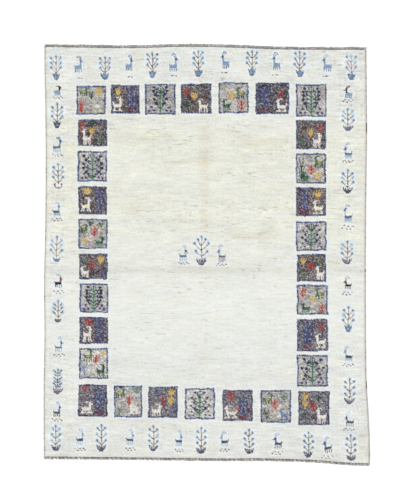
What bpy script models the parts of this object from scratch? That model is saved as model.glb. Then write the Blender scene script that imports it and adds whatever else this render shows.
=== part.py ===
"""A gabbeh rug lying flat and face up: its pile slab, two flat-woven end bands and two side cords.

Metres, +Z up. The origin is the middle of the rug's outline on the surface that it lies on. +Y is the
head of the rug and +X its right side.
"""

import math

import bmesh
import bpy
import numpy as np

RUG = "gabbeh_rug"

# Sizes of the rug's layers and trims.
PILE_HEIGHT = 0.0125
RIM_ROUND = 0.0035
RIM_STEPS = 2
KILIM_HEIGHT = 0.0042
KILIM_HEAD_WIDTH = 0.0165
KILIM_FOOT_WIDTH = 0.0140
KILIM_ROWS = 3
KILIM_ROW_RELIEF = 0.0009
SELVAGE_WIDTH = 0.0070
SELVAGE_HEIGHT = 0.0068
SELVAGE_SHOULDER = 0.0024
GAP = 0.0003
TRIM = SELVAGE_WIDTH + GAP

# Unevenness of the pile: slow swells, each with its turns per metre across and along and its phase.
SWELL = 0.0005
SWELLS = (
    (7.1, 2.3, 0.0),
    (-1.9, 9.7, 1.1),
    (11.3, -5.6, 2.4),
)
# The soft trough where the rug has been folded in half, which bows a little on its way across.
FOLD_PLACE = -0.062
FOLD_BOW = 0.010
FOLD_TURN = 2.6
FOLD_DEPTH = 0.0022
FOLD_HALF_WIDTH = 0.030
# The side cords are fuller in some places: share of their crown, turns per metre and phase.
CORD_LUMPS = (
    (0.05, 31.0, 0.0),
    (0.04, 57.0, 1.0),
)

# How finely each piece is divided. The field and the end bands share their stations across.
STATIONS_ACROSS = 42
FIELD_ALONG = 54
SELVAGE_ALONG = 72
SELVAGE_PROFILE = 6

# The hand-woven outline wanders. Each edge is a smooth curve through a few stations.
# Head and foot edges, as (x, y).
HEAD_EDGE = (
    (-0.760, 0.981),
    (-0.612, 0.979),
    (-0.357, 0.976),
    (-0.055, 0.982),
    (0.130, 0.978),
    (0.339, 0.970),
    (0.572, 0.968),
    (0.760, 0.968),
)
FOOT_EDGE = (
    (-0.760, -0.950),
    (-0.543, -0.952),
    (-0.264, -0.955),
    (0.038, -0.959),
    (0.363, -0.961),
    (0.525, -0.968),
    (0.641, -0.977),
    (0.760, -0.982),
)
# Left and right edges, as (y, x).
LEFT_EDGE = (
    (-0.983, -0.759),
    (-0.558, -0.759),
    (-0.372, -0.756),
    (-0.140, -0.758),
    (0.092, -0.753),
    (0.440, -0.750),
    (0.673, -0.752),
    (0.882, -0.756),
    (0.983, -0.756),
)
RIGHT_EDGE = (
    (-0.983, 0.757),
    (-0.939, 0.759),
    (-0.860, 0.758),
    (-0.730, 0.752),
    (-0.604, 0.744),
    (-0.442, 0.741),
    (-0.256, 0.740),
    (0.301, 0.742),
    (0.533, 0.745),
    (0.766, 0.744),
    (0.983, 0.742),
)

# Rounds of working out a point's two coordinates in turn.
PLACE_ROUNDS = 4

# The mean colour and the roughness of each finish.
FINISHES = {
    "ivory_pile": ((0.66, 0.65, 0.58, 1.0), 0.95),
    "kilim_weave": ((0.40, 0.33, 0.31, 1.0), 0.90),
    "overcast_wool": ((0.46, 0.40, 0.40, 1.0), 0.90),
}


def clear_scene():
    """Remove the objects that the scene starts with."""
    for thing in list(bpy.data.objects):
        bpy.data.objects.remove(thing, do_unlink=True)


def material(name):
    """The Principled material of one finish, made once."""
    made = bpy.data.materials.get(name)
    if made:
        return made
    colour, roughness = FINISHES[name]
    made = bpy.data.materials.new(name)
    made.use_nodes = True
    shader = made.node_tree.nodes["Principled BSDF"]
    shader.inputs["Base Color"].default_value = colour
    shader.inputs["Roughness"].default_value = roughness
    shader.inputs["Metallic"].default_value = 0.0
    made.diffuse_color = colour
    return made


def edge(stations):
    """A smooth curve through the stations, as a function: cubic pieces with the mean slope at each one."""
    along, offset = np.array(stations).T
    slope = np.gradient(offset, along)

    def curve(at):
        at = np.clip(at, along[0], along[-1])
        piece = np.clip(np.searchsorted(along, at) - 1, 0, len(along) - 2)
        step = along[piece + 1] - along[piece]
        t = (at - along[piece]) / step
        start = (1 + 2 * t) * (1 - t) ** 2 * offset[piece]
        end = t**2 * (3 - 2 * t) * offset[piece + 1]
        leave = t * (1 - t) ** 2 * step * slope[piece]
        arrive = t**2 * (t - 1) * step * slope[piece + 1]
        return start + end + leave + arrive

    return curve


head = edge(HEAD_EDGE)
foot = edge(FOOT_EDGE)
left = edge(LEFT_EDGE)
right = edge(RIGHT_EDGE)


def place(x_share, y_share, side_inset, head_inset, foot_inset):
    """The point at these shares of the way from left to right and from foot to head, inside the insets.

    Each coordinate depends on the other one, so a few rounds of working them out in turn settle both.
    """
    x = np.zeros_like(x_share)
    for _ in range(PLACE_ROUNDS):
        low = foot(x) + foot_inset
        high = head(x) - head_inset
        y = low + (high - low) * y_share
        near = left(y) + side_inset
        far = right(y) - side_inset
        x = near + (far - near) * x_share
    return x, y


def pile_top(x, y):
    """Height of the pile: slow swells less the soft fold trough that crosses the middle."""
    swell = sum(np.sin(across * x + along * y + phase) for across, along, phase in SWELLS)
    fold_line = FOLD_PLACE + FOLD_BOW * np.sin(FOLD_TURN * x)
    trough = np.exp(-(((y - fold_line) / FOLD_HALF_WIDTH) ** 2))
    return PILE_HEIGHT + SWELL * swell - FOLD_DEPTH * trough


def strip(name, across, along, shape, finish):
    """A closed piece with a flat underside.

    A grid of across by along cells is laid out by shape(x_share, y_share), which gives x, y and the
    height of the top, and is then extruded down to the floor. The edges around the top carry a bevel
    weight, for pieces whose rim is rounded.
    """
    mesh = bpy.data.meshes.new(name)
    work = bmesh.new()
    bmesh.ops.create_grid(work, x_segments=across, y_segments=along, size=0.5)
    work.verts.ensure_lookup_table()
    share = np.array([vert.co[:2] for vert in work.verts]) + 0.5
    x, y, z = shape(share[:, 0], share[:, 1])
    for vert, place_x, place_y, height in zip(work.verts, x, y, z):
        vert.co = (place_x, place_y, height)
    weight = work.edges.layers.float.new("bevel_weight_edge")
    for side in work.edges:
        side[weight] = 1.0 if side.is_boundary else 0.0
    made = bmesh.ops.extrude_face_region(work, geom=list(work.faces), use_keep_orig=True)
    under = [item for item in made["geom"] if isinstance(item, bmesh.types.BMVert)]
    for vert in under:
        vert.co.z = 0.0
    bmesh.ops.recalc_face_normals(work, faces=work.faces)
    work.to_mesh(mesh)
    work.free()
    thing = bpy.data.objects.new(name, mesh)
    thing.data.materials.append(material(finish))
    bpy.data.collections[RUG].objects.link(thing)
    return thing


def pile_field():
    """The pile slab, with its rim rounded where the pile has no neighbour to hold it up."""

    def shape(x_share, y_share):
        x, y = place(x_share, y_share, TRIM, KILIM_HEAD_WIDTH + GAP, KILIM_FOOT_WIDTH + GAP)
        return x, y, pile_top(x, y)

    slab = strip("pile_field", STATIONS_ACROSS, FIELD_ALONG, shape, "ivory_pile")
    rim = slab.modifiers.new("rounded rim", "BEVEL")
    rim.width = RIM_ROUND
    rim.segments = RIM_STEPS
    rim.limit_method = "WEIGHT"


def kilim(name, at_head, width):
    """An end band: flat weave whose rows of twined weft stand up as ridges along its length."""

    def shape(x_share, y_share):
        end = np.full_like(x_share, 1.0 if at_head else 0.0)
        x, y = place(x_share, end, TRIM, 0.0, 0.0)
        inner_edge = -width if at_head else 0.0
        ridge = np.abs(np.sin(math.pi * KILIM_ROWS * y_share))
        return x, y + inner_edge + width * y_share, KILIM_HEIGHT - KILIM_ROW_RELIEF * (1 - ridge)

    strip(name, STATIONS_ACROSS, 2 * KILIM_ROWS, shape, "kilim_weave")


def selvage(name, at_left):
    """A side cord: wool wrapped over the outer warps, flat below, crowned above and unevenly full."""

    def shape(x_share, y_share):
        side = np.full_like(y_share, 0.0 if at_left else 1.0)
        x, y = place(side, y_share, 0.0, 0.0, 0.0)
        outer_edge = 0.0 if at_left else -SELVAGE_WIDTH
        crown = np.sqrt(np.clip(1 - (2 * x_share - 1) ** 2, 0, 1))
        fullness = 1 + sum(share * np.sin(turns * y + phase) for share, turns, phase in CORD_LUMPS)
        height = SELVAGE_SHOULDER + (SELVAGE_HEIGHT - SELVAGE_SHOULDER) * crown * fullness
        return x + outer_edge + SELVAGE_WIDTH * x_share, y, height

    strip(name, SELVAGE_PROFILE, SELVAGE_ALONG, shape, "overcast_wool")


def main():
    """Build the five pieces of the rug."""
    clear_scene()
    rug = bpy.data.collections.new(RUG)
    bpy.context.scene.collection.children.link(rug)
    pile_field()
    kilim("kilim_head", True, KILIM_HEAD_WIDTH)
    kilim("kilim_foot", False, KILIM_FOOT_WIDTH)
    selvage("selvage_left", True)
    selvage("selvage_right", False)


main()
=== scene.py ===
"""A gabbeh rug lying flat and face up, woven knot by knot round the fixed frame of its solids.

The drawing is kept on the weaver's sheet. One step of the sheet is one pixel of the photograph, x runs
to the right and y down from the head, and a step is STEP metres wide on the rug. Every other size is in
metres, in the frame's axes: +Y is the head of the rug, +X its right side and +Z up out of the pile.
"""

import logging
import math
from collections.abc import Sequence
from dataclasses import dataclass, field
from enum import Enum
from typing import ClassVar

import bpy
import numpy as np
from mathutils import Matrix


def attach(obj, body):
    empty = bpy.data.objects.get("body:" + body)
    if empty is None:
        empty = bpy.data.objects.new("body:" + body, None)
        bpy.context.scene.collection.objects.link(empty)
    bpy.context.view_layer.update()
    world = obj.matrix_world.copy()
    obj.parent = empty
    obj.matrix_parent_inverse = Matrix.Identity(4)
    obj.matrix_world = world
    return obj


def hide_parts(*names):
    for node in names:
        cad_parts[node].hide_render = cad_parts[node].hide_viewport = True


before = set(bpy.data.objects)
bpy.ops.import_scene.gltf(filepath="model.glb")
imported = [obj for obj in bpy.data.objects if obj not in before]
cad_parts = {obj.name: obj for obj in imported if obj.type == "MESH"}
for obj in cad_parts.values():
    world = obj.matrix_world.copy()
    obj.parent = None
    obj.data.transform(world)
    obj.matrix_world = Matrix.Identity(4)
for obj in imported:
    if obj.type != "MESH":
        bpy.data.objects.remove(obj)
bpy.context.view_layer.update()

LOG = logging.getLogger("gabbeh_rug")
SEED = 7

# The sheet: the rug's width in metres and in steps, and where the frame's origin lies on it.
RUG_WIDTH = 1.50
RUG_LENGTH = 1.94
RUG_WIDTH_STEPS = 323
STEP = RUG_WIDTH / RUG_WIDTH_STEPS
SHEET_MIDDLE = (206.9, 254.85)
PHOTO_STEPS = (400, 500)

# How much brighter than its own reflectance a level surface shows in this studio.
STUDIO_GAIN = 1.30

# The display's curve: a straight toe up to its end, and then a power.
TOE_END = 0.04045
TOE_SLOPE = 12.92
TOE_LIFT = 0.055

Array = np.ndarray
Point = tuple[float, float]


def linear(display: Array) -> Array:
    """Turn display values into linear reflectances.

    Args:
        display: Red, green and blue from 0 to 255, in the last axis.

    Returns:
        The same colours on a linear scale from 0 to 1: a straight toe, then a power of 2.4.
    """
    share = np.asarray(display, float) / 255
    return np.where(share <= TOE_END, share / TOE_SLOPE, ((share + TOE_LIFT) / (1 + TOE_LIFT)) ** 2.4)


def drift(shape: tuple[int, int], cell: tuple[float, float], rng: np.random.Generator) -> Array:
    """Smooth noise from -1 to 1.

    Random numbers on a coarse lattice are blended between their four neighbours, with the weight
    3t^2 - 2t^3 of the share t of the way along each side.

    Args:
        shape: Rows and columns wanted.
        cell: Rows and columns between two numbers of the lattice.
        rng: Where the numbers come from.

    Returns:
        An array of that shape.
    """
    sides = [np.arange(count) / step for count, step in zip(shape, cell)]
    low = [side.astype(int) for side in sides]
    lattice = rng.uniform(-1, 1, (low[0][-1] + 2, low[1][-1] + 2))
    weight = [(side - start) ** 2 * (3 - 2 * (side - start)) for side, start in zip(sides, low)]
    down, across = weight[0][:, None], weight[1][None, :]
    rows, cols = low[0][:, None], low[1][None, :]
    upper = lattice[rows, cols] * (1 - across) + lattice[rows, cols + 1] * across
    lower = lattice[rows + 1, cols] * (1 - across) + lattice[rows + 1, cols + 1] * across
    return upper * (1 - down) + lower * down


def drift_along(count: int, cell: float, rng: np.random.Generator) -> Array:
    """Smooth noise from -1 to 1 along a line of that many places, one number of the lattice a cell."""
    return drift((1, count), (1.0, cell), rng)[0]


def distance(x: Array, y: Array, points: Array) -> Array:
    """How far each place is from a line of straight runs.

    The nearest point of a run is at the share of its length given by the dot product, held between
    0 and 1, and the least distance over the runs counts.

    Args:
        x: Places to the right.
        y: Places down the sheet.
        points: The line's points, one row each.

    Returns:
        Distances in steps.
    """
    start = points[:-1, :, None, None]
    run = (points[1:] - points[:-1])[:, :, None, None]
    length = np.maximum((run**2).sum(1), 1e-9)
    share = np.clip(((x - start[:, 0]) * run[:, 0] + (y - start[:, 1]) * run[:, 1]) / length, 0, 1)
    off_x = x - start[:, 0] - share * run[:, 0]
    off_y = y - start[:, 1] - share * run[:, 1]
    return np.sqrt((off_x**2 + off_y**2).min(0))


# The rug's outline


@dataclass(frozen=True)
class Edge:
    """One wandering side of the rug, a smooth curve through (along, offset) stations."""

    stations: tuple[Point, ...]

    def at(self, along: Array) -> Array:
        """The offset at each place along: cubic pieces with the mean slope at every station.

        Args:
            along: Places along the side.

        Returns:
            The offset there.
        """
        known, offset = np.array(self.stations).T
        slope = np.gradient(offset, known)
        along = np.clip(along, known[0], known[-1])
        piece = np.clip(np.searchsorted(known, along) - 1, 0, len(known) - 2)
        step = known[piece + 1] - known[piece]
        t = (along - known[piece]) / step
        start = (1 + 2 * t) * (1 - t) ** 2 * offset[piece]
        end = t**2 * (3 - 2 * t) * offset[piece + 1]
        leave = t * (1 - t) ** 2 * step * slope[piece]
        arrive = t**2 * (t - 1) * step * slope[piece + 1]
        return start + end + leave + arrive


@dataclass(frozen=True)
class Outline:
    """The four sides, as the solids have them: head and foot as (x, y), left and right as (y, x)."""

    ROUNDS: ClassVar[int] = 4
    head: Edge = Edge((
        (-0.760, 0.981), (-0.612, 0.979), (-0.357, 0.976), (-0.055, 0.982),
        (0.130, 0.978), (0.339, 0.970), (0.572, 0.968), (0.760, 0.968),
    ))
    foot: Edge = Edge((
        (-0.760, -0.950), (-0.543, -0.952), (-0.264, -0.955), (0.038, -0.959),
        (0.363, -0.961), (0.525, -0.968), (0.641, -0.977), (0.760, -0.982),
    ))
    left: Edge = Edge((
        (-0.983, -0.759), (-0.558, -0.759), (-0.372, -0.756), (-0.140, -0.758), (0.092, -0.753),
        (0.440, -0.750), (0.673, -0.752), (0.882, -0.756), (0.983, -0.756),
    ))
    right: Edge = Edge((
        (-0.983, 0.757), (-0.939, 0.759), (-0.860, 0.758), (-0.730, 0.752), (-0.604, 0.744),
        (-0.442, 0.741), (-0.256, 0.740), (0.301, 0.742), (0.533, 0.745), (0.766, 0.744),
        (0.983, 0.742),
    ))

    def place(self, across: Array, down: Array, side: float, head: float, foot: float) -> Array:
        """Lay shares of the width and length inside the outline.

        Args:
            across: Shares from left to right.
            down: Shares from head to foot.
            side: Inset from the left and right sides.
            head: Inset from the head.
            foot: Inset from the foot.

        Returns:
            x and y in the last axis. Each depends on the other, so they are worked out in turn.
        """
        x = np.zeros(np.broadcast(across, down).shape)
        for _ in range(self.ROUNDS):
            top = self.head.at(x) - head
            y = top + (self.foot.at(x) + foot - top) * down
            near = self.left.at(y) + side
            x = near + (self.right.at(y) - side - near) * across
        return np.stack([x, y], -1)


@dataclass(frozen=True)
class Lie:
    """How high the pile stands where the rug lies: slow swells less the soft trough of an old fold."""

    pile: float = 0.0125
    swell: float = 0.0005
    swells: tuple[tuple[float, float, float], ...] = ((7.1, 2.3, 0.0), (-1.9, 9.7, 1.1), (11.3, -5.6, 2.4))
    fold_place: float = -0.062
    fold_bow: float = 0.010
    fold_turn: float = 2.6
    fold_depth: float = 0.0022
    fold_half_width: float = 0.030

    def top(self, x: Array, y: Array) -> Array:
        """The pile's height: its mean, plus sines of x and y, less a bell across the fold line."""
        swell = sum(np.sin(across * x + along * y + phase) for across, along, phase in self.swells)
        return self.pile + self.swell * swell - self.fold_depth * self.fold(x, y)

    def fold(self, x: Array, y: Array) -> Array:
        """How deep in the fold a place is, from 0 to 1: a bell across a line that bows a little."""
        line = self.fold_place + self.fold_bow * np.sin(self.fold_turn * x)
        return np.exp(-(((y - line) / self.fold_half_width) ** 2))


# The wools and the needle


class Yarn(Enum):
    """The wools, each as the two shades carded together in it, in display values."""

    IVORY = ((235, 236, 228), (224, 224, 214))
    WHITE = ((246, 244, 238), (222, 214, 204))
    CREAM = ((238, 228, 196), (222, 204, 154))
    NAVY = ((38, 43, 63), (58, 66, 90))
    INDIGO = ((56, 64, 106), (86, 96, 138))
    BLUE = ((92, 118, 160), (122, 150, 188))
    AZURE = ((104, 138, 172), (154, 178, 202))
    DENIM = ((96, 122, 152), (132, 154, 178))
    SKY = ((150, 178, 203), (182, 202, 219))
    MIST = ((198, 216, 229), (216, 227, 234))
    TEAL = ((86, 116, 136), (118, 148, 166))
    PEARL = ((148, 174, 192), (172, 192, 206))
    STEEL = ((88, 98, 116), (122, 130, 146))
    COAL = ((62, 66, 77), (92, 96, 107))
    MAUVE = ((96, 88, 112), (136, 126, 146))
    PURPLE = ((66, 52, 92), (94, 78, 120))
    CRIMSON = ((98, 42, 58), (124, 66, 82))
    RED = ((166, 62, 56), (198, 112, 100))
    BRICK = ((128, 40, 42), (158, 62, 56))
    MADDER = ((142, 52, 50), (170, 88, 80))
    RUST = ((140, 68, 54), (112, 60, 54))
    YELLOW = ((204, 164, 64), (216, 190, 114))
    STRAW = ((206, 184, 90), (150, 146, 66))
    GREEN = ((66, 102, 80), (100, 130, 108))
    MINT = ((166, 186, 170), (148, 172, 156))
    FOREST = ((30, 62, 54), (54, 90, 74))
    STEM = ((136, 118, 108), (164, 148, 136))
    BARK = ((92, 78, 72), (124, 110, 100))
    SOOT = ((40, 36, 42), (62, 56, 60))
    EARTH = ((92, 72, 62), (120, 98, 86))
    AUBERGINE = ((74, 60, 74), (100, 84, 98))
    SLATE = ((82, 82, 102), (110, 108, 128))
    SMOKE = ((118, 112, 118), (144, 138, 142))
    STONE = ((180, 174, 164), (160, 154, 146))
    SAND = ((202, 198, 188), (186, 180, 170))
    LILAC = ((180, 176, 182), (160, 158, 166))
    BEIGE = ((226, 218, 184), (212, 202, 170))
    OAT = ((198, 188, 164), (180, 170, 150))
    CORD = ((184, 176, 174), (208, 202, 200))
    TWINE = ((232, 228, 224), (206, 200, 198))
    CLAY = ((88, 72, 78), (118, 100, 104))

    def shades(self) -> Array:
        """Both shades as reflectances under the studio's light."""
        return linear(np.array(self.value)) / STUDIO_GAIN

    def carded(self, share: Array) -> Array:
        """The wool's colour where that share of its second shade is carded in."""
        first, second = self.shades()
        return first + (second - first) * np.asarray(share)[..., None]


class Facing(Enum):
    """Which way a figure looks."""

    RIGHT = 1
    LEFT = -1


class Chart:
    """The knots of the whole rug as they are woven: where each lies on the sheet, and its wool."""

    WOBBLE_STEPS = 0.55
    WOBBLE_KNOTS = 9.0
    JITTER_STEPS = 0.20
    MARGIN_KNOTS = 7

    def __init__(self, place: Array, seed: int) -> None:
        """Lay out the knots.

        Args:
            place: x and y of each knot in metres, by row from the head and column from the left.
            seed: Seed of every random draw on the chart.
        """
        self.rng = np.random.default_rng(seed)
        self.shape = place.shape[:2]
        self.x = SHEET_MIDDLE[0] + place[..., 0] / STEP + self.hand()
        self.y = SHEET_MIDDLE[1] - place[..., 1] / STEP + self.hand()
        self.span = (
            (float(self.x[:, 0].mean()), float(self.x[:, -1].mean())),
            (float(self.y[0].mean()), float(self.y[-1].mean())),
        )
        self.heather = self.rng.random(self.shape)
        self.colour = np.zeros((*self.shape, 3))
        self.figured = np.zeros(self.shape, bool)

    def hand(self) -> Array:
        """The unevenness of the hand: a slow wander of the drawing and a small slip at each knot.

        Returns:
            Steps to move each knot's place on the sheet.
        """
        wander = drift(self.shape, (self.WOBBLE_KNOTS, self.WOBBLE_KNOTS), self.rng)
        slip = self.rng.uniform(-1, 1, self.shape)
        return self.WOBBLE_STEPS * wander + self.JITTER_STEPS * slip

    def window(self, low: Point, high: Point) -> tuple[slice, slice]:
        """The rows and columns that surely hold a box of the sheet.

        Args:
            low: The box's least x and y.
            high: Its greatest x and y.

        Returns:
            Both as slices of the chart.
        """
        found = []
        for axis, count in ((1, self.shape[0]), (0, self.shape[1])):
            start, end = self.span[axis]
            scale = (count - 1) / (end - start)
            first = int((low[axis] - start) * scale) - self.MARGIN_KNOTS
            last = int((high[axis] - start) * scale) + self.MARGIN_KNOTS
            found.append(slice(max(first, 0), min(last, count)))
        return found[0], found[1]

    def lay(self, at: tuple[slice, slice], mask: Array, yarn: Yarn) -> None:
        """Knot this wool wherever the mask of a window says so.

        Args:
            at: The window.
            mask: Which of its knots.
            yarn: The wool.
        """
        wool = yarn.carded(self.heather[at])
        self.colour[at] = np.where(mask[..., None], wool, self.colour[at])
        self.figured[at] |= mask

    def line(self, yarn: Yarn, half_width: float, points: Array) -> None:
        """Knot a line of straight runs, half_width steps to each side."""
        at = self.window(tuple(points.min(0)), tuple(points.max(0)))
        self.lay(at, distance(self.x[at], self.y[at], points) < half_width, yarn)

    def blob(self, yarn: Yarn, centre: Point, across: float, tall: float, share: float = 1.0) -> None:
        """Knot an oval of these half sizes in steps, or only a scattered share of its knots.

        Args:
            yarn: The wool.
            centre: The middle of the oval on the sheet.
            across: Half its width in steps.
            tall: Half its height in steps.
            share: The share of its knots that get the wool.
        """
        low = (centre[0] - across, centre[1] - tall)
        high = (centre[0] + across, centre[1] + tall)
        at = self.window(low, high)
        round_it = ((self.x[at] - centre[0]) / across) ** 2 + ((self.y[at] - centre[1]) / tall) ** 2
        self.lay(at, (round_it < 1) & (self.rng.random(round_it.shape) < share), yarn)


@dataclass(frozen=True)
class Figure:
    """Something drawn on the chart: its middle, its foot line and its size, in steps.

    Lines and ovals of a figure are placed by shares of its size, and their half widths are in steps.
    """

    x: float
    foot: float
    width: float
    height: float
    facing: ClassVar[Facing] = Facing.RIGHT

    def spots(self, shares: Sequence[Point]) -> Array:
        """Shares of the figure's size, from its middle and up from its foot, as places on the sheet.

        Args:
            shares: Pairs of shares, across in the way that it faces, and up.

        Returns:
            x and y of each on the sheet.
        """
        across, up = np.array(shares, float).T
        x = self.x + self.facing.value * self.width * across
        return np.stack([x, self.foot - self.height * up], 1)

    def line(self, chart: Chart, yarn: Yarn, half_width: float, *shares: Point) -> None:
        """Knot a line through shares of the figure's size."""
        chart.line(yarn, half_width, self.spots(shares))

    def both(self, chart: Chart, yarn: Yarn, half_width: float, *shares: Point) -> None:
        """Knot a line and its mirror image."""
        self.line(chart, yarn, half_width, *shares)
        self.line(chart, yarn, half_width, *((-across, up) for across, up in shares))

    def blob(
        self, chart: Chart, yarn: Yarn, spot: Point, across: float, tall: float, share: float = 1.0
    ) -> None:
        """Knot an oval at a spot of the figure, with half sizes in steps, or a share of its knots."""
        chart.blob(yarn, tuple(self.spots([spot])[0]), across, tall, share)


# The figures


class Coat(Enum):
    """A deer's wools: body, back and neck shade, horns, legs."""

    WHITE = (Yarn.WHITE,) * 4
    CREAM = (Yarn.CREAM, *(Yarn.WHITE,) * 3)
    GREEN = (Yarn.GREEN, Yarn.FOREST, Yarn.FOREST, Yarn.GREEN)
    MEADOW = (Yarn.STRAW, Yarn.GREEN, Yarn.FOREST, Yarn.FOREST)
    INDIGO = (Yarn.BLUE, Yarn.BLUE, Yarn.NAVY, Yarn.INDIGO)
    GHOST = (Yarn.IVORY, Yarn.SAND, Yarn.SAND, Yarn.SAND)


class Pelt(Enum):
    """A border deer's wools: horns, head, neck, back, legs."""

    AZURE = (Yarn.BLUE, Yarn.INDIGO, Yarn.AZURE, Yarn.AZURE, Yarn.STEEL)
    AIRY = (Yarn.SKY, Yarn.INDIGO, Yarn.AZURE, Yarn.AZURE, Yarn.BLUE)
    BROWN = (Yarn.EARTH, Yarn.SOOT, Yarn.SOOT, Yarn.AZURE, Yarn.BLUE)
    OLIVE = (Yarn.STEEL, Yarn.INDIGO, Yarn.BLUE, Yarn.STEEL, Yarn.SKY)
    BLACK = (Yarn.SKY, Yarn.BLUE, Yarn.SKY, Yarn.COAL, Yarn.SKY)
    GREY = (Yarn.SKY, Yarn.INDIGO, Yarn.SKY, Yarn.STEEL, Yarn.SKY)
    RUST = (Yarn.PEARL, Yarn.RUST, Yarn.EARTH, Yarn.SOOT, Yarn.STEEL)
    SLATE = (Yarn.SKY, Yarn.INDIGO, Yarn.BLUE, Yarn.COAL, Yarn.STEEL)
    MAUVE = (Yarn.SKY, Yarn.MAUVE, Yarn.SKY, Yarn.MAUVE, Yarn.MAUVE)


@dataclass(frozen=True)
class BorderDeer(Figure):
    """A small deer of the border: curled horns, a long neck, a barred back, marks under its feet.

    Its brow is the height share of its head, and its girth half the depth of its back in steps. The
    trail is where the marks lie, as shares of its width across and of `marks` steps below its feet.
    """

    BACK: ClassVar[float] = 0.30
    facing: Facing = Facing.RIGHT
    pelt: Pelt = Pelt.AZURE
    marks: float = 2.5
    brow: float = 0.62
    girth: float = 1.25
    blanket: bool = False
    trail: tuple[Point, ...] = (
        (-0.56, 0.78),
        (-0.02, 0.82),
        (0.46, 0.70),
        (-0.26, 1.30),
        (0.20, 1.36),
        (0.68, 1.15),
    )

    def weave(self, chart: Chart) -> None:
        """Knot the horns, neck, head, legs, back, tail and the marks on the ground.

        Args:
            chart: Where it is knotted.
        """
        horn, head, neck, back, leg = self.pelt.value
        rise = 1.0 - self.brow
        tip = self.brow + 0.62 * rise
        curl = ((0.36, self.brow), (0.36, tip), (0.20, 0.98), (-0.06, 0.96), (-0.16, 0.88))
        self.line(chart, horn, 0.42, *curl)
        self.line(chart, horn, 0.36, (0.28, self.brow), (0.16, tip), (-0.10, tip + 0.10 * rise))
        self.line(chart, neck, 0.92, (0.38, self.brow + 0.16 * rise), (0.34, self.brow), (0.28, self.BACK))
        self.line(chart, neck, 0.46, (0.44, self.brow - 0.02), (0.60, self.brow - 0.05))
        self.line(chart, head, 0.88, (0.33, self.brow + 0.03), (0.39, self.brow - 0.03))
        if self.blanket:
            self.line(chart, leg, 1.25, (-0.32, 0.16), (0.32, 0.16))
        for across in (-0.40, -0.15, 0.12, 0.37):
            self.line(chart, leg, 0.46, (across, 0.26), (across, 0.02))
        half = 0.44 - self.girth / self.width
        self.line(chart, back, self.girth, (-half, self.BACK), (half, self.BACK))
        self.line(chart, back, 0.40, (-0.43, self.BACK), (-0.48, self.BACK + 0.14))
        for across, below in self.trail:
            down = -self.marks * below / self.height
            self.line(chart, Yarn.EARTH, 0.50, (across - 0.06, down), (across + 0.06, down))


class Pot(Enum):
    """The pots that the border's trees stand in."""

    CROWN = "three points over a round bowl"
    LEAVES = "a fan of broad leaves"
    DISH = "a small full bowl"
    SCROLL = "a low bowl with curled ends"


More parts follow.
